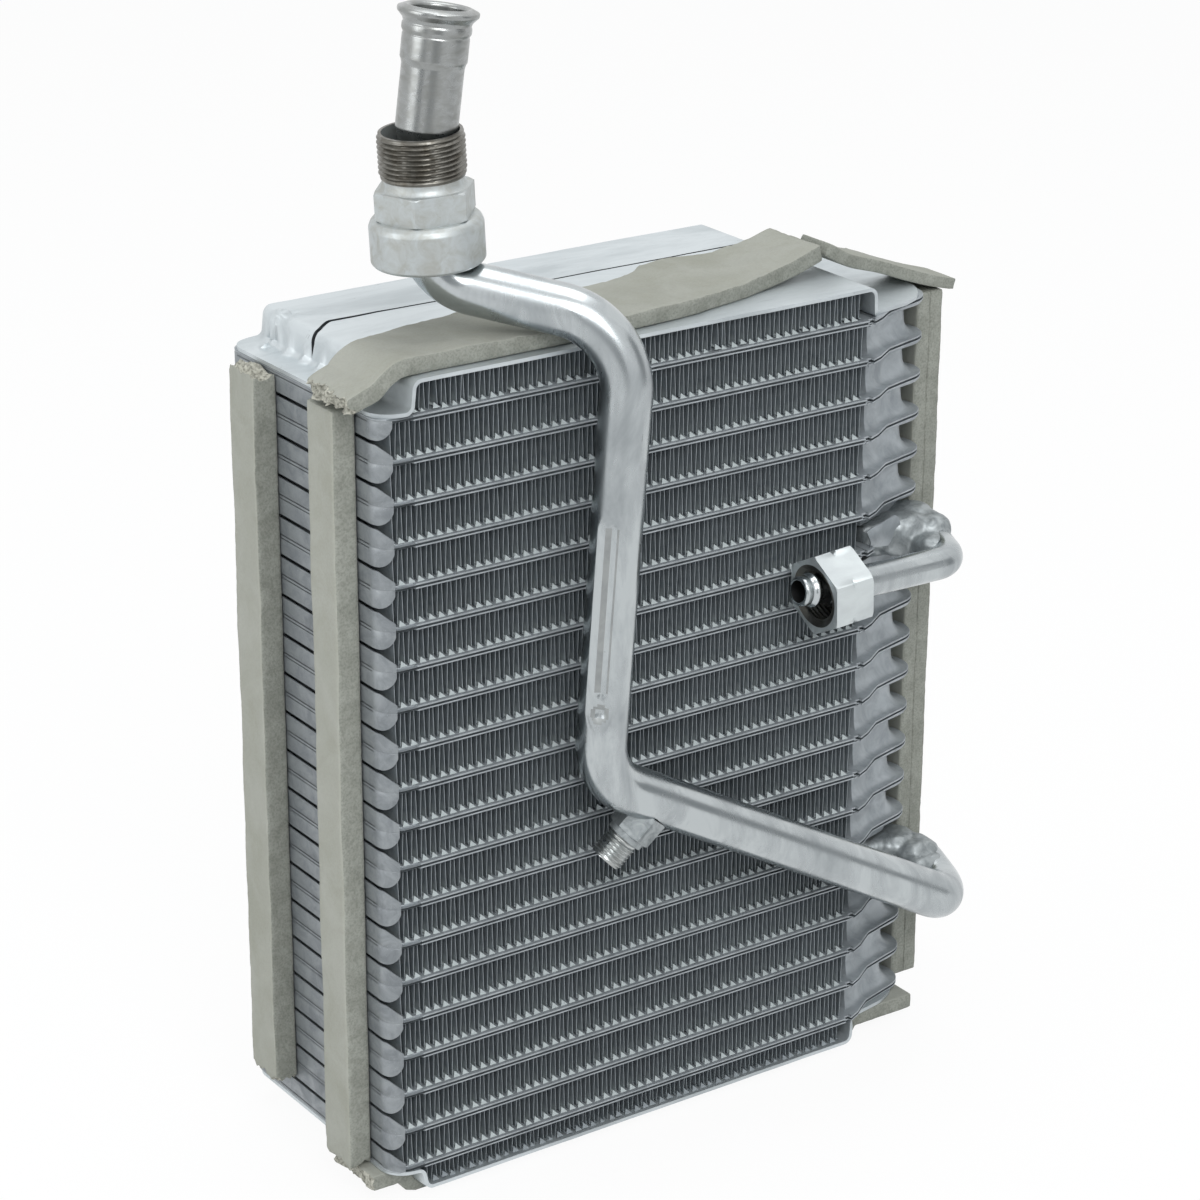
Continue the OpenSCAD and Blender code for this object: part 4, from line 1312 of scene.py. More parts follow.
@dataclass
class SuctionLine:
    """The suction pipe and its turned end; its boss and its captive nut are built on their own."""

    core: Core
    radius: float = 7.94
    wall: float = 1.2
    bends: tuple[float, ...] = (10, 11, 20, 24, 17, 20)
    flat: tuple[float, float] = (149.0, 222.0)
    flat_depth: float = 1.25
    groove: tuple[float, float] = (163.5, 216.0)
    groove_depth: float = 0.5
    dimple: float = 157.0
    dimple_depth: float = 0.8
    dimple_radius: float = 3.2

    @property
    def pressed_from(self) -> Vector:
        """The direction that the pressed flat faces."""
        return Vector((-0.72, -0.69, 0.033))

    def leg(self, x: float) -> float:
        """Returns the height of the slanting run at a place along it."""
        return 50.8 + 0.567 * (105.0 - x)

    def route(self) -> Route:
        """Returns the pipe's route from the tank to its upright end."""
        panel = self.core.panel
        return Route(
            (
                (99.1, -24, 59.4),
                (109, -36, 56.8),
                (105, -58, self.leg(105)),
                (-40, -58.5, self.leg(-40)),
                (-31, -61, panel + 9.5),
                (-73.5, -21, panel + 20.5),
                (-78.2, -20, panel + 42.5),
                (-77.1, -20, panel + 50.5),
            ),
            self.bends,
            0.9,
        )

    def pressed(self, distance: float, place: Vector, outward: Vector) -> float:
        """Returns the pipe's radius, with the flat, the groove and the dimple that were pressed in.

        Args:
            distance: The distance along the pipe; not used here.
            place: The centre line's place there.
            outward: The direction that the skin faces.
        """
        facing = self.pressed_from.normalized()
        if not 140.0 < place.z < 230.0 or outward.dot(facing) < 0.5:
            return self.radius
        off = math.acos(min(outward.dot(facing), 1.0)) * self.radius
        low, high = self.flat
        ease = min(max((place.z - low) / 9.0, 0.0), 1.0) * min(max((high - place.z) / 7.0, 0.0), 1.0)
        ease = ease * ease * (3 - 2 * ease)
        radius = min(self.radius, (self.radius - self.flat_depth * ease) / outward.dot(facing))
        beyond = max(self.groove[0] - place.z, place.z - self.groove[1], 0.0)
        ring = math.hypot(off, beyond)
        hollow = min(max((2.1 - ring) / 1.3, 0.0), 1.0)
        radius -= self.groove_depth * hollow * hollow * (3 - 2 * hollow)
        dip = math.hypot(off, place.z - self.dimple) / self.dimple_radius
        return radius - (self.dimple_depth * (1 - dip**2) ** 2 if dip < 1 else 0.0)

    def dull(self, mesh: Mesh) -> None:
        """Paints the groove's two flanks and the dimple's rim darker, as painted shade.

        Args:
            mesh: The pipe.
        """
        low, high = (Vector(corner) for corner in self.route().corners[3:5])
        along, facing = (high - low).normalized(), self.pressed_from.normalized()
        for number, (corners, _) in enumerate(mesh.faces):
            spot = sum((mesh.points[k] for k in corners), Vector()) / len(corners)
            out = spot - low
            out -= along * out.dot(along)
            off = out.cross(facing).dot(along)
            flank = self.groove[0] < spot.z < self.groove[1] and (0.1 < off < 2.0 or -2.2 < off < -1.4)
            rim = 1.5 < math.hypot(off, spot.z - self.dimple) < 3.0
            # Painted shade on the groove's flanks and the dimple's rim.
            if out.dot(facing) > 4.0 and (flank or rim):
                mesh.refinish(number, GROOVE_SHADE)

    def build(self) -> None:
        """Builds the pipe and its end."""
        line = self.route().points()
        mesh = Mesh()
        Sweep(line, sides=72).pipe(mesh, self.pressed, self.radius - self.wall, TUBE, BORE)
        self.dull(mesh)
        settle(mesh.make("suction_tube", 60), CORE, "bare_aluminium", "suction_pipe")
        self.end(line)

    def end(self, line: Loop) -> None:
        """Builds the turned upright end.

        Args:
            line: The pipe's route.
        """
        top = 50.0
        profile = [(7.94, 0), (7.94, top - 38), (9.2, top - 34.5), (9.2, top - 16.2), (9.5, top - 15.0)]
        profile += [(9.85, top - 14.4), (9.85, top - 7.6), (9.6, top - 7.2), (10.2, top - 6.2)]
        profile += [(10.2, top - 4.6), (9.9, top - 4.0), (10.3, top - 2.9)]
        profile += [(11.95, top - 1.2), (11.95, top), (9.55, top + 1), (8.45, top + 0.6), (8.05, top)]
        profile += [(8.05, top - 17), (6.74, top - 20), (6.74, 0)]
        turning = Turning(line[-1], line[-1] - line[-2])
        mesh = Mesh()
        rings = turning.rings(self.eased(profile))
        mesh.loft(rings, BURNISHED, turn=False)
        mesh.loft([rings[-1], rings[0]], BURNISHED)
        settle(mesh.make("suction_spigot", 50), CORE, "bare_aluminium", "suction_end")

    @staticmethod
    def eased(profile: Sequence[tuple[float, float]], round_by: float = 0.35) -> list[tuple[float, float]]:
        """Rounds the corners of a turned profile.

        Args:
            profile: Pairs of radius and height.
            round_by: How far from a corner its rounding starts.

        Returns:
            The rounded profile.
        """
        points = [Vector(p) for p in profile]
        out = [tuple(points[0])]
        for before, here, after in zip(points, points[1:], points[2:]):
            back = min(round_by, (here - before).length * 0.4)
            ahead = min(round_by, (after - here).length * 0.4)
            start = here + (before - here).normalized() * back
            end = here + (after - here).normalized() * ahead
            for k in range(4):
                t = k / 3
                out.append(tuple(start * (1 - t) ** 2 + here * 2 * t * (1 - t) + end * t**2))
        return out + [tuple(points[-1])]


@dataclass
class SuctionNut:
    """Captive nut of the suction line: a skirt, a hexagon and a male thread."""

    core: Core
    flats: float = 27.0
    skirt: float = 17.0
    thread_radius: float = 13.0
    pitch: float = 1.5

    def build(self) -> None:
        """Builds the nut."""
        turning = Turning(Vector((-74.8, -20, self.core.panel + 26.3)), Vector((-0.058, 0, 1)), 144)
        mesh = Mesh()
        bore = [(11.5, 39.4), (11.5, 12.0), (14.5, 12.0), (14.5, 0.4), (14.9, 0.0)]
        skirt = [(16.2, 0.0), (17.0, 0.9), (17.0, 11.6), (16.4, 13.0), (15.8, 13.6), (15.2, 14.0)]
        under = turning.rings(SuctionLine.eased(bore + skirt, 0.3))
        hexagon = turning.chamfered(self.flats, 107.5, 14.0, 22.8, 14.6)
        neck = turning.rings([(13.3, 22.85), (12.8, 23.2), (12.15, 24.6), (12.1, 25.9)])
        mesh.loft(under + hexagon + neck, TURNED)
        threads = turning.thread(self.thread_radius, self.pitch, 0.85, 25.9, 39.4)
        mesh.loft([neck[-1]] + threads + [under[0]], THREAD)
        settle(mesh.make("suction_gland", 35), "suction_nut", "turned_aluminium", "suction_nut")


@dataclass
class LiquidLine:
    """The liquid pipe with its beads."""

    core: Core
    radius: float = 4.8
    wall: float = 1.2
    fuller: float = 0.5
    beads: tuple[tuple[float, float], ...] = ((4.6, 0.8), (12.0, 1.5))

    @property
    def level(self) -> float:
        """Height of the plate that the line leaves."""
        return self.core.level(7)

    def route(self) -> Route:
        """Returns the pipe's route from the tank to its mouth."""
        z = self.level
        return Route(
            (
                (96.2, -26, z + 0.4),
                (105, -38, z - 0.6),
                (98.1, -59.2, z - 2.5),
                (64.2, -59.2, z - 2.1),
                (35.2, -59.2, z + 0.3),
            ),
            (8.5, 9, 30),
            0.6,
        )

    def build(self) -> None:
        """Builds the pipe."""
        line = self.route().points()
        total = sum((b - a).length for a, b in zip(line, line[1:]))

        def radius(distance: float, place: Vector, outward: Vector) -> float:
            """Radius of the pipe with its two beads and its eased mouth."""
            left = total - distance
            bead = sum(rise * math.exp(-((left - middle) ** 4)) for middle, rise in self.beads)
            full = self.fuller * min(max((left - 13.0) / 5.0, 0.0), 1.0)
            return self.radius + full + bead - 0.4 * max(0.0, 1 - left / 0.6)

        mesh = Mesh()
        Sweep(line).pipe(mesh, radius, self.radius - self.wall, TUBE, BORE)
        settle(mesh.make("liquid_tube", 60), CORE, "bare_aluminium", "liquid_pipe")


Lump = tuple[Vector, Vector, float]


@dataclass
class Boss:
    """A line's boss, a lumpy casting of braze and sheet."""

    core: Core
    line: str = "suction"
    number: int = 16
    voxel: float = 0.6

    def lumps(self) -> list[Lump]:
        """Returns the parts that the boss is made up of: a centre, half its size, and its turn about Z."""
        z = self.core.level(self.number)
        return [
            (Vector((89.3, -17.5, z)), Vector((14.2, 14.4, 6.3)), 0.0),
            (Vector((96.5, -25.0, z - 0.8)), Vector((9.6, 9.4, 6.6)), 0.0),
            (Vector((102.2, -29.5, z - 2.6)), Vector((8.8, 9.4, 8.4)), -40.0),
            (Vector((105.4, -36.5, z - 4.2)), Vector((8.6, 9.0, 8.7)), 0.0),
            (Vector((104.0, -42.5, z - 6.0)), Vector((8.0, 7.6, 8.2)), 0.0),
        ]

    def casting(self) -> bpy.types.Object:
        """Merges the lumps into one skin and roughens it.

        Returns:
            The casting.
        """
        mesh = Mesh()
        for centre, half, turn in self.lumps():
            spin = Matrix.Rotation(math.radians(turn), 3, "Z")
            rings = []
            for k in range(1, 16):
                a = math.pi * k / 16
                tall, wide = -math.copysign(abs(math.cos(a)) ** 0.6, math.cos(a)), math.sin(a) ** 0.6
                ring = []
                for n in range(32):
                    b = 2 * math.pi * n / 32
                    flat = Vector((
                        math.copysign(abs(math.cos(b)) ** 0.75, math.cos(b)) * wide * half.x,
                        math.copysign(abs(math.sin(b)) ** 0.75, math.sin(b)) * wide * half.y,
                        tall * half.z,
                    ))
                    ring.append(centre + spin @ flat)
                rings.append(ring)
            rows = mesh.loft(rings, CAST)
            mesh.face(rows[0][::-1], CAST)
            mesh.face(rows[-1], CAST)
        made = mesh.make(f"{self.line}_boss_lumps", 180)
        modifier = made.modifiers.new("Merge", "REMESH")
        modifier.mode, modifier.voxel_size = "VOXEL", self.voxel * MM
        smooth = made.modifiers.new("Ease", "SMOOTH")
        smooth.factor, smooth.iterations = 0.6, 8
        data = bpy.data.meshes.new_from_object(made.evaluated_get(bpy.context.evaluated_depsgraph_get()))
        bpy.data.objects.remove(made)
        for vertex, normal in [(v, v.normal.copy()) for v in data.vertices]:
            spot = vertex.co / MM
            lump = sum(rise * noise.noise(spot * per) for rise, per in ((0.5, 0.16), (0.22, 0.5), (0.06, 1.4)))
            vertex.co += normal * lump * MM
        data.materials.clear()
        data.materials.append(CAST.material())
        data.polygons.foreach_set("use_smooth", [True] * len(data.polygons))
        made = bpy.data.objects.new(f"{self.line}_boss_casting", data)
        bpy.context.scene.collection.objects.link(made)
        return made

    def build(self) -> None:
        """Builds the casting."""
        settle(self.casting(), CORE, "bare_aluminium", f"{self.line}_boss")


@dataclass
class LiquidBoss(Boss):
    """The liquid line's boss, with a scrap of flange bent up over it."""

    line: str = "liquid"
    number: int = 7

    def lumps(self) -> list[Lump]:
        """Returns the boss's parts, larger towards the front."""
        z = self.core.level(self.number)
        return [
            (Vector((89.3, -17.5, z)), Vector((14.2, 14.4, 6.3)), 0.0),
            (Vector((90.0, -30.0, z - 0.5)), Vector((9.6, 9.0, 6.2)), -18.0),
            (Vector((96.5, -27.5, z)), Vector((8.6, 8.6, 6.4)), 0.0),
            (Vector((101.5, -33.0, z + 0.6)), Vector((8.2, 7.4, 7.8)), -52.0),
            (Vector((84.5, -34.0, z + 1.8)), Vector((6.4, 5.4, 4.6)), -20.0),
            (Vector((94.0, -37.6, z + 1.2)), Vector((8.8, 7.2, 6.8)), -20.0),
            (Vector((103.0, -40.0, z - 0.2)), Vector((7.0, 8.4, 7.4)), 0.0),
            (Vector((99.8, -46.5, z - 1.8)), Vector((7.4, 9.0, 5.4)), -12.0),
        ]

    def scrap(self) -> bpy.types.Object:
        """Builds the scrap of flange that stands up in front of the boss.

        Returns:
            The scrap.
        """
        z = self.core.level(7)
        low, tip = Vector((74.6, -43.4, z + 7.3)), Vector((88.0, -43.2, z + 10.6))
        foot, end = Vector((78.0, -41.6, z + 0.4)), Vector((93.4, -40.4, z - 1.2))
        peak = 0.72
        mesh = Mesh()
        rows = []
        for k in range(13):
            t = k / 12
            top = low.lerp(tip, t / peak) if t < peak else tip.lerp(end, (t - peak) / (1 - peak))
            bottom = foot.lerp(end, t)
            front, back = [], []
            for n in range(9):
                place = bottom.lerp(top, n / 8)
                place.y -= 1.1 * math.sin(math.pi * n / 8) * (1 - t) + 0.4 * noise.noise(place * 0.3)
                front.append(place + Vector((0.0, -0.3, 0.0)))
                back.append(place + Vector((0.0, 0.3, 0.05)))
            rows.append(front + back[::-1])
        lofted = mesh.loft(rows, BRAZED)
        for row in (lofted[0], lofted[-1]):
            for k in range(8):
                mesh.face([row[k], row[k + 1], row[-2 - k], row[-1 - k]], BRAZED)
        return mesh.make("liquid_boss_scrap", 40)

    def build(self) -> None:
        """Builds the casting and the scrap."""
        super().build()
        settle(self.scrap(), CORE, "bare_aluminium")


@dataclass
class LiquidNut:
    """Captive nut of the liquid line, a plain milled hexagon."""

    core: Core
    flats: float = 23.4
    length: float = 14.6

    def build(self) -> None:
        """Builds the nut."""
        z = self.core.level(7)
        turning = Turning(Vector((56.2, -59.2, z - 1.7)), Vector((-1, 0, -0.065)), 144)
        mesh = Mesh()
        hexagon = turning.chamfered(self.flats, 27.5, 0.0, self.length, 12.9, 1.0)
        back = turning.rings([(5.9, 4.0), (5.9, 0.0)])
        mouth = turning.rings([(10.3, self.length), (8.5, self.length - 1.1)])
        inner = turning.thread(8.5, 1.5, -0.5, 4.2, self.length - 1.1)[::-1]
        mesh.loft([back[-1]] + hexagon + [mouth[0]], MILLED)
        mesh.loft(mouth + inner + [back[0]], THREAD)
        mesh.loft(back, THREAD)
        settle(mesh.make("liquid_gland", 30), "liquid_nut", "turned_aluminium", "liquid_nut")


@dataclass
class ServicePort:
    """Service port brazed to the suction pipe's lower bend."""

    core: Core

    def build(self) -> None:
        """Builds the port."""
        x = -17.5
        at = Vector((x, -58 - 0.5 * (105 - x) / 145, 50.8 + 0.567 * (105 - x)))
        turning = Turning(at, Vector((-0.664, 0.178, -0.711)), 96)
        mesh = Mesh()
        foot = turning.chamfered(13.0, 0, 5.0, 14.0, 6.9)
        collar = turning.rings([(6.2, 14.1), (6.25, 15.9), (5.5, 16.1)])
        threads = turning.thread(5.55, 1.27, 0.6, 16.1, 25.0)
        mouth = turning.rings([(4.4, 25.0), (2.5, 24.4), (2.5, 13.0)])
        mesh.loft(foot + collar, CAST)
        mesh.loft([collar[-1]] + threads + mouth, BRIGHT_THREAD)
        settle(mesh.make("service_stub", 35), CORE, "turned_aluminium", "service_port")


class Tear(Enum):
    """Which ends of a foam strip are torn."""

    NONE = 0
    START = 1
    END = 2
    BOTH = 3


@dataclass
class SealStrip:
    """One foam strip, padded out from the face that lies on the core.

    Attributes:
        name: The strip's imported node.
        path: Stations along the face on the core: across, up, front edge, back edge, thickness. The
            foam grows to the left of the way that they run, seen from the front.
        torn: Its torn ends.
        rag: How far the torn ends stray.
        swell: How far its skin rises and falls.
        plies: How many layers it is glued up from.
        round_off: Radius of its long edges.
        tear_reach: How far a tear reaches into the strip.
    """

    name: str
    path: Sequence[tuple[float, float, float, float, float]]
    torn: Tear = Tear.NONE
    rag: float = 1.6
    swell: float = 0.25
    plies: int = 1
    round_off: float = 0.7
    tear_reach: float = 9.0

    def stations(self, step: float = 1.3) -> list[tuple[float, ...]]:
        """Returns the path in small steps, eased through its stations without overshooting them."""
        rows = [tuple(row) for row in self.path]
        gaps = [math.hypot(b[0] - a[0], b[1] - a[1]) for a, b in zip(rows, rows[1:])]
        slopes = [[(q - p) / gap for p, q in zip(a, b)] for a, b, gap in zip(rows, rows[1:], gaps)]
        tangents = [slopes[0]]
        for before, after in zip(slopes, slopes[1:]):
            tangents.append([2 * p * q / (p + q) if p * q > 0 else 0.0 for p, q in zip(before, after)])
        tangents.append(slopes[-1])
        found = []
        for k, gap in enumerate(gaps):
            count = max(int(gap / step), 1)
            for n in range(count):
                t = n / count
                weights = (
                    2 * t**3 - 3 * t**2 + 1,
                    (t**3 - 2 * t**2 + t) * gap,
                    3 * t**2 - 2 * t**3,
                    (t**3 - t**2) * gap,
                )
                columns = zip(rows[k], tangents[k], rows[k + 1], tangents[k + 1])
                found.append(tuple(sum(w * v for w, v in zip(weights, column)) for column in columns))
        return found + [rows[-1]]

    @staticmethod
    def spread(length: float, step: float) -> list[float]:
        """Returns even shares from 0 to 1, with closer ones at both ends."""
        close = [0.0, 0.25 / length, 0.7 / length]
        count = max(int(length / step), 2)
        inner = [k / count for k in range(1, count) if 1.0 / length < k / count < 1 - 1.0 / length]
        return close + inner + [1 - share for share in reversed(close)]

    def skin(self) -> Mesh:
        """Returns the strip's six faces."""
        line = self.stations()
        widest = max(row[3] - row[2] for row in line)
        deep = [0.0, 0.06, 0.16, 0.3, 0.5, 0.7, 0.84, 0.94, 1.0]
        if self.plies > 1:
            deep[4:5] = [0.47, 0.5, 0.53]
        shares = [[float(k) for k in range(len(line))], self.spread(widest, 1.25), deep]
        mesh = Mesh()
        for fixed in range(3):
            first, second = [k for k in range(3) if k != fixed]
            for end in (0, -1):
                torn = self.torn in (Tear.BOTH, Tear.END if end else Tear.START)
                finish = (FRAYED if torn else CUT, CUT, SKIN)[fixed]
                rows = []
                for a in shares[first]:
                    row = []
                    for b in shares[second]:
                        place = {fixed: shares[fixed][end], first: a, second: b}
                        row.append(self.shape(line, int(place[0]), place[1], place[2]))
                    rows.append(row)
                mesh.loft(rows, finish, closed=False)
        return mesh

    def shape(self, line: Sequence, number: int, across: float, out: float) -> Vector:
        """Places one point of the strip.

        Args:
            line: The path's stations.
            number: Which station it is at.
            across: Its share of the width, from the front.
            out: Its share of the thickness, from the core.

        Returns:
            Its place in millimetres.
        """
        x, z, front, back, thick = line[number]
        before, after = line[max(number - 1, 0)], line[min(number + 1, len(line) - 1)]
        along = Vector((after[0] - before[0], 0, after[1] - before[1])).normalized()
        normal = Vector((-along.z, 0, along.x))
        width = back - front
        y, rise, slide = front + width * across, thick * out, 0.0
        run = 1.3 * min(number, len(line) - 1 - number)
        depths = (min(across, 1 - across) * width, min(out, 1 - out) * thick, run)
        gaps = [max(self.round_off - depth, 0.0) for depth in depths]
        reach = math.sqrt(sum(g * g for g in gaps))
        if reach > self.round_off:
            pull = 1 - self.round_off / reach
            y += gaps[0] * pull * (1 if across < 0.5 else -1)
            rise += gaps[1] * pull * (1 if out < 0.5 else -1)
            slide += gaps[2] * pull * (1 if number * 2 < len(line) else -1)
        spot = Vector((x, y, z)) + normal * rise
        seed = Vector((len(self.name) * 3.1, 5.0, self.path[0][0]))
        free = min(out * 1.5, 1.0)
        broad = noise.noise(spot * 0.045 + seed) * 1.3 + noise.noise(spot * 0.14 + seed) * 0.7
        rise += free * self.swell * broad
        rise += free * self.swell * 0.35 * noise.noise(spot * 0.5 + seed)
        edge = 2 * across - 1
        stray = 0.35 * noise.noise(spot * 0.05 + seed * 2) + 0.16 * noise.noise(spot * 0.6 + seed)
        y += abs(edge) ** 6 * stray
        if self.plies > 1 and abs(edge) > 0.99 and abs(out - 0.5) < 0.01:
            y -= 0.4 * edge
        for end, flag in ((0, Tear.START), (len(line) - 1, Tear.END)):
            near = abs(number - end) * 1.3
            if self.torn in (flag, Tear.BOTH) and near < self.tear_reach:
                rough = noise.noise(spot * 0.22 + seed) * 1.3
                rough += 0.7 * noise.noise(spot * 0.8) + 0.4 * noise.noise(spot * 2.1)
                lost = self.rag * (0.7 if end == 0 else -0.7)
                slide += (1 - near / self.tear_reach) * (self.rag * rough + lost)
        return Vector((x, y, z)) + normal * rise + along * slide

    def build(self) -> bpy.types.Object:
        """Returns:
            The strip.
        """
        made = self.skin().make(f"{self.name}_strip", 50)
        settle(made, CORE, "grey_foam", self.name)
        return made


@dataclass
class Seals:
    """All the foam on the core."""

    core: Core
    gap: float = 0.2
    left_thick: float = 8.0
    right_thick: float = 10.5

    def sides(self) -> list[SealStrip]:
        """Returns the four upright strips."""
        left, right = -self.core.half - self.gap, self.core.half + self.gap
        top, thin, thick = self.core.top + 2.1, self.left_thick, self.right_thick
        ahead, behind = (-32.0, -17.0), (14.2, 29.2)
        near, far = (-25.4, -10.4), (10.4, 25.4)
        return [
            SealStrip(
                "foam_left_front",
                [(left, 6.8, *ahead, thin), (left, 130, *ahead, thin), (left, top, *ahead, thin)],
                Tear.START,
                round_off=1.1,
            ),
            SealStrip(
                "foam_left_back",
                [(left, 16, *behind, thin), (left, 130, *behind, thin), (left, top - 1, *behind, thin)],
                Tear.BOTH,
                2.2,
            ),
            SealStrip(
                "foam_right_front",
                [(right, top - 3.2, *near, thick), (right, 130, *near, thick), (right, 7.2, *near, thick)],
                plies=2,
            ),
            SealStrip(
                "foam_right_back",
                [(right, top - 1, *far, thick), (right, 130, *far, thick), (right, 7.2, *far, thick)],
                plies=2,
            ),
        ]

    def over_top(self) -> list[SealStrip]:
        """Returns the two strips on top: the long torn one and the one that arches over the tanks."""
        lie = self.core.panel + self.gap
        long = [
            (-117.4, lie - 8.1, -44.0, -21.0, 5.2),
            (-112.0, lie - 6.6, -43.4, -19.6, 5.6),
            (-106.5, lie - 5.2, -42.9, -18.4, 5.6),
            (-101.5, lie - 1.6, -42.4, -17.2, 5.4),
            (-97.0, lie + 0.1, -42.0, -16.0, 5.3),
            (-90.0, lie, -41.5, -14.0, 5.2),
            (-82.0, lie, -41.4, -12.6, 5.2),
            (-68.0, lie, -41.3, -10.0, 5.2),
            (-26.0, lie, -41.0, -7.6, 5.2),
            (-4.0, lie, -39.4, -6.5, 5.2),
            (10.0, lie, -38.0, -3.6, 5.2),
            (16.0, lie, -36.4, 1.2, 5.3),
            (30.0, lie, -33.4, 3.4, 5.2),
            (41.0, lie + 0.3, -30.4, 0.6, 5.0),
            (56.0, lie + 1.9, -27.4, 1.0, 5.2),
            (68.6, lie + 4.4, -25.1, 1.9, 5.2),
        ]
        over = [
            (69.2, self.core.panel + 6.2, -25.4, -10.4, 4.2),
            (79.0, self.core.panel + 0.9, -25.4, -10.4, 4.2),
            (91.0, self.core.panel - 2.9, -25.4, -10.4, 4.2),
            (102.0, self.core.panel - 7.1, -25.4, -10.4, 4.2),
            (113.0, self.core.panel - 10.9, -25.4, -10.4, 4.1),
            (122.9, self.core.panel - 13.6, -25.4, -10.4, 3.9),
        ]
        return [
            SealStrip("foam_top", long, Tear.START, 2.4, 0.55),
            SealStrip("foam_top_right", over, Tear.NONE, 1.0, 0.2),
        ]

    def under(self) -> SealStrip:
        """Returns the strip that the core stands on, pressed thin by its weight."""
        left, right, edge = -97.9, 77.3, (-39.0, -16.0)
        flange = self.core.lowest - self.core.plate / 2 - self.core.end_sheet - self.gap
        path = [
            (106.0, flange, *edge, 5.2),
            (right + 4.0, flange, *edge, 5.3),
            (right + 0.6, flange - 1.0, *edge, 5.4),
            (right - 1.6, 1.2, *edge, 4.6),
            (right - 5.0, -self.gap, *edge, 3.1),
            (right - 12.0, -self.gap, *edge, 3.1),
            (left + 12.0, -self.gap, *edge, 3.1),
            (left + 5.0, -self.gap, *edge, 3.1),
            (left + 1.6, 1.2, *edge, 4.6),
            (left - 0.6, flange - 1.0, *edge, 5.4),
            (left - 4.0, flange, *edge, 5.3),
            (-112.5, flange, *edge, 5.2),
        ]
        return SealStrip("foam_bottom", path, Tear.END, 1.2, 0.12)

    def build(self) -> None:
        """Builds every strip."""
        for strip in self.sides() + self.over_top() + [self.under()]:
            strip.build()


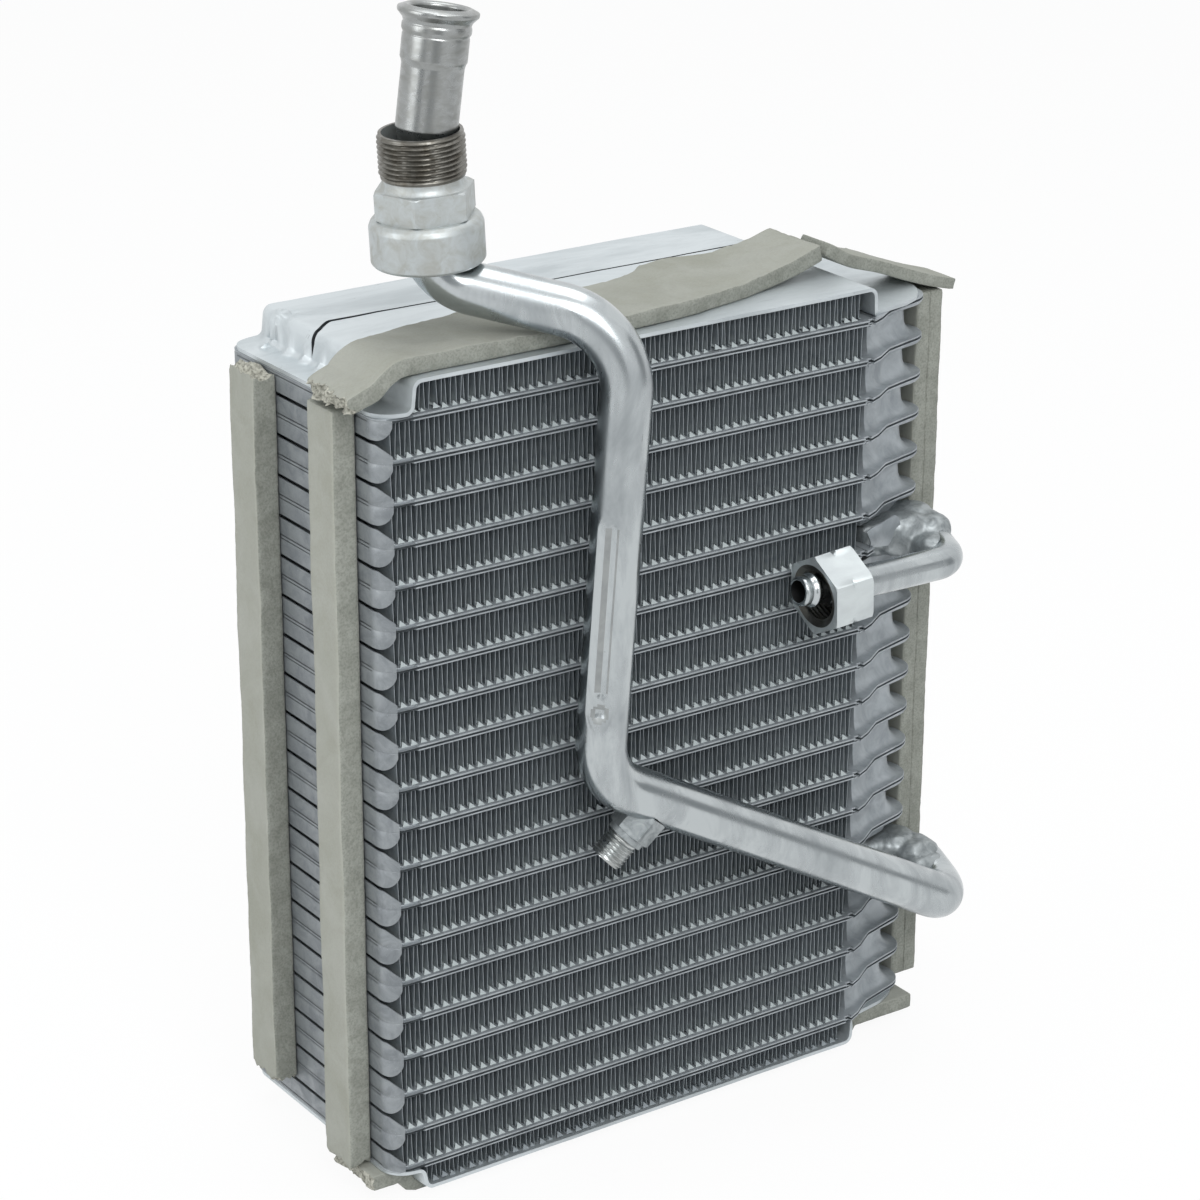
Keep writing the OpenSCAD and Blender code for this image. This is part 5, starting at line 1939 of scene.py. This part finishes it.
@dataclass
class Studio:
    """Camera, lamps, floor and white surroundings."""

    lens: float = 104.38
    place: tuple[float, float, float] = (-0.5952259, -0.8300237, 0.5782902)
    turn: tuple[float, float, float] = (68.515447, -0.265837, -34.695986)

    def camera(self) -> None:
        """Puts the camera where the photograph was taken from."""
        data = bpy.data.cameras.new("Camera")
        data.lens, data.sensor_width = self.lens, 36.0
        data.clip_start, data.clip_end = 0.05, 30.0
        made = bpy.data.objects.new("Camera", data)
        made.location = self.place
        made.rotation_euler = [math.radians(a) for a in self.turn]
        bpy.context.scene.collection.objects.link(made)
        bpy.context.scene.camera = made

    def lamp(self, name: str, place: Vector, target: Vector, size: float, power: float) -> None:
        """Adds a square soft lamp.

        Args:
            name: Its name.
            place: Where it stands, in metres.
            target: What it faces.
            size: Its side, in metres.
            power: Its power, in watts.
        """
        data = bpy.data.lights.new(name, "AREA")
        data.size, data.energy = size, power
        made = bpy.data.objects.new(name, data)
        made.location = place
        made.rotation_euler = (target - place).to_track_quat("-Z", "Y").to_euler()
        bpy.context.scene.collection.objects.link(made)

    def white(
        self, tree: bpy.types.NodeTree, other: bpy.types.NodeSocket, share: float
    ) -> bpy.types.NodeSocket:
        """Mixes in plain white for what the camera, gloss and glass see.

        Args:
            tree: The tree.
            other: The shader that lights the object.
            share: How much of it is white, from 0 to 1.

        Returns:
            The mixed shader.
        """
        rays = add_node(tree, "ShaderNodeLightPath").outputs
        seen = rays["Is Camera Ray"]
        for name in ("Is Glossy Ray", "Is Transmission Ray"):
            seen = add_node(tree, "ShaderNodeMath", {0: seen, 1: rays[name]}, operation="MAXIMUM").outputs[0]
        part = add_node(tree, "ShaderNodeMath", {0: seen, 1: share}, operation="MULTIPLY").outputs[0]
        sky = isinstance(other.node, bpy.types.ShaderNodeBackground)
        kind = "ShaderNodeBackground" if sky else "ShaderNodeEmission"
        plain = add_node(tree, kind, {"Color": (1, 1, 1, 1), "Strength": 1.0}).outputs[0]
        return add_node(tree, "ShaderNodeMixShader", {0: part, 1: other, 2: plain}).outputs[0]

    def flag(self, name: str, centre: Vector, across: Vector, tall: float) -> None:
        """Adds a grey card that only reflections see, which gives bare metal its darker streaks.

        Args:
            name: Its name.
            centre: Its middle, in metres.
            across: From its middle to its side, in metres.
            tall: Half its height, in metres.
        """
        made_of = bpy.data.materials.get("Studio flag")
        if not made_of:
            made_of = bpy.data.materials.new("Studio flag")
            made_of.use_nodes = True
            tree = made_of.node_tree
            tree.nodes.clear()
            cloth = add_node(
                tree, "ShaderNodeEmission", {"Color": srgb("#9C9FA1"), "Strength": 1.0}
            ).outputs[0]
            add_node(tree, "ShaderNodeOutputMaterial", {"Surface": cloth})
        up = Vector((0, 0, tall))
        mesh = bpy.data.meshes.new(name)
        corners = [centre - across - up, centre + across - up, centre + across + up, centre - across + up]
        mesh.from_pydata(corners, [], [(0, 1, 2, 3)])
        mesh.materials.append(made_of)
        made = bpy.data.objects.new(name, mesh)
        bpy.context.scene.collection.objects.link(made)
        made.visible_camera = made.visible_diffuse = made.visible_shadow = made.visible_transmission = False

    def floor(self) -> None:
        """Adds the pale floor, which keeps the object's shadow."""
        made_of = bpy.data.materials.new("Studio floor")
        made_of.use_nodes = True
        tree = made_of.node_tree
        tree.nodes.clear()
        paint = add_node(
            tree, "ShaderNodeBsdfPrincipled", {"Base Color": srgb("#F4F4F4"), "Roughness": 0.9}
        ).outputs[0]
        add_node(tree, "ShaderNodeOutputMaterial", {"Surface": self.white(tree, paint, 0.93)})
        mesh = bpy.data.meshes.new("studio_floor")
        reach = 6.0
        corners = [(-reach, -reach, 0), (reach, -reach, 0), (reach, reach, 0), (-reach, reach, 0)]
        mesh.from_pydata([Vector(c) for c in corners], [], [(0, 1, 2, 3)])
        mesh.materials.append(made_of)
        made = bpy.data.objects.new("studio_floor", mesh)
        bpy.context.scene.collection.objects.link(made)

    def world(self) -> None:
        """Makes the white surroundings."""
        made = bpy.data.worlds.new("Studio")
        made.use_nodes = True
        tree = made.node_tree
        tree.nodes.clear()
        light = add_node(
            tree, "ShaderNodeBackground", {"Color": (0.93, 0.97, 1.0, 1), "Strength": 0.55}
        ).outputs[0]
        add_node(tree, "ShaderNodeOutputWorld", {"Surface": self.white(tree, light, 1.0)})
        bpy.context.scene.world = made

    def build(self) -> None:
        """Sets up the studio."""
        self.camera()
        self.world()
        self.floor()
        target = Vector((0, 0.02, 0.14))
        self.lamp("Key", Vector((-0.5, -1.3, 1.3)), target, 1.0, 16.0)
        self.lamp("Side", Vector((-1.5, 0.1, 0.7)), target, 0.9, 6.0)
        self.lamp("Top", Vector((0.2, 0.2, 1.7)), target, 1.2, 9.0)
        self.flag("flag_front", Vector((-0.75, -1.35, 0.25)), Vector((0.32, -0.18, 0)), 0.75)
        self.flag("flag_left", Vector((-1.6, -0.45, 0.3)), Vector((0.06, -0.3, 0)), 0.8)
        self.flag("flag_right", Vector((1.3, -1.0, 0.3)), Vector((0.25, 0.3, 0)), 0.8)
        bpy.context.scene.view_settings.view_transform = "Standard"


def dress_carried_nodes() -> None:
    """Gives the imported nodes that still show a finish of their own."""
    finishes = {"valve_core": BRASS, "valve_pin": BRASS}
    for name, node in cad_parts.items():
        if node.hide_render:
            continue
        finish = finishes.get(name, BRAZED)
        for slot in node.material_slots:
            slot.material = finish.material()
        LOG.info("%s keeps its packed shape", name)


def main() -> None:
    """Builds the scene, sub-assembly by sub-assembly."""
    logging.basicConfig(level=logging.INFO)
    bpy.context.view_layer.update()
    core = Core()
    Studio().build()
    for part in (
        FinStack(core),
        TubePlates(core),
        EndPlates(core),
        SuctionLine(core),
        SuctionNut(core),
        LiquidLine(core),
        LiquidBoss(core),
        Boss(core),
        LiquidNut(core),
        ServicePort(core),
        Seals(core),
    ):
        part.build()
    dress_carried_nodes()


if __name__ == "__main__":
    main()
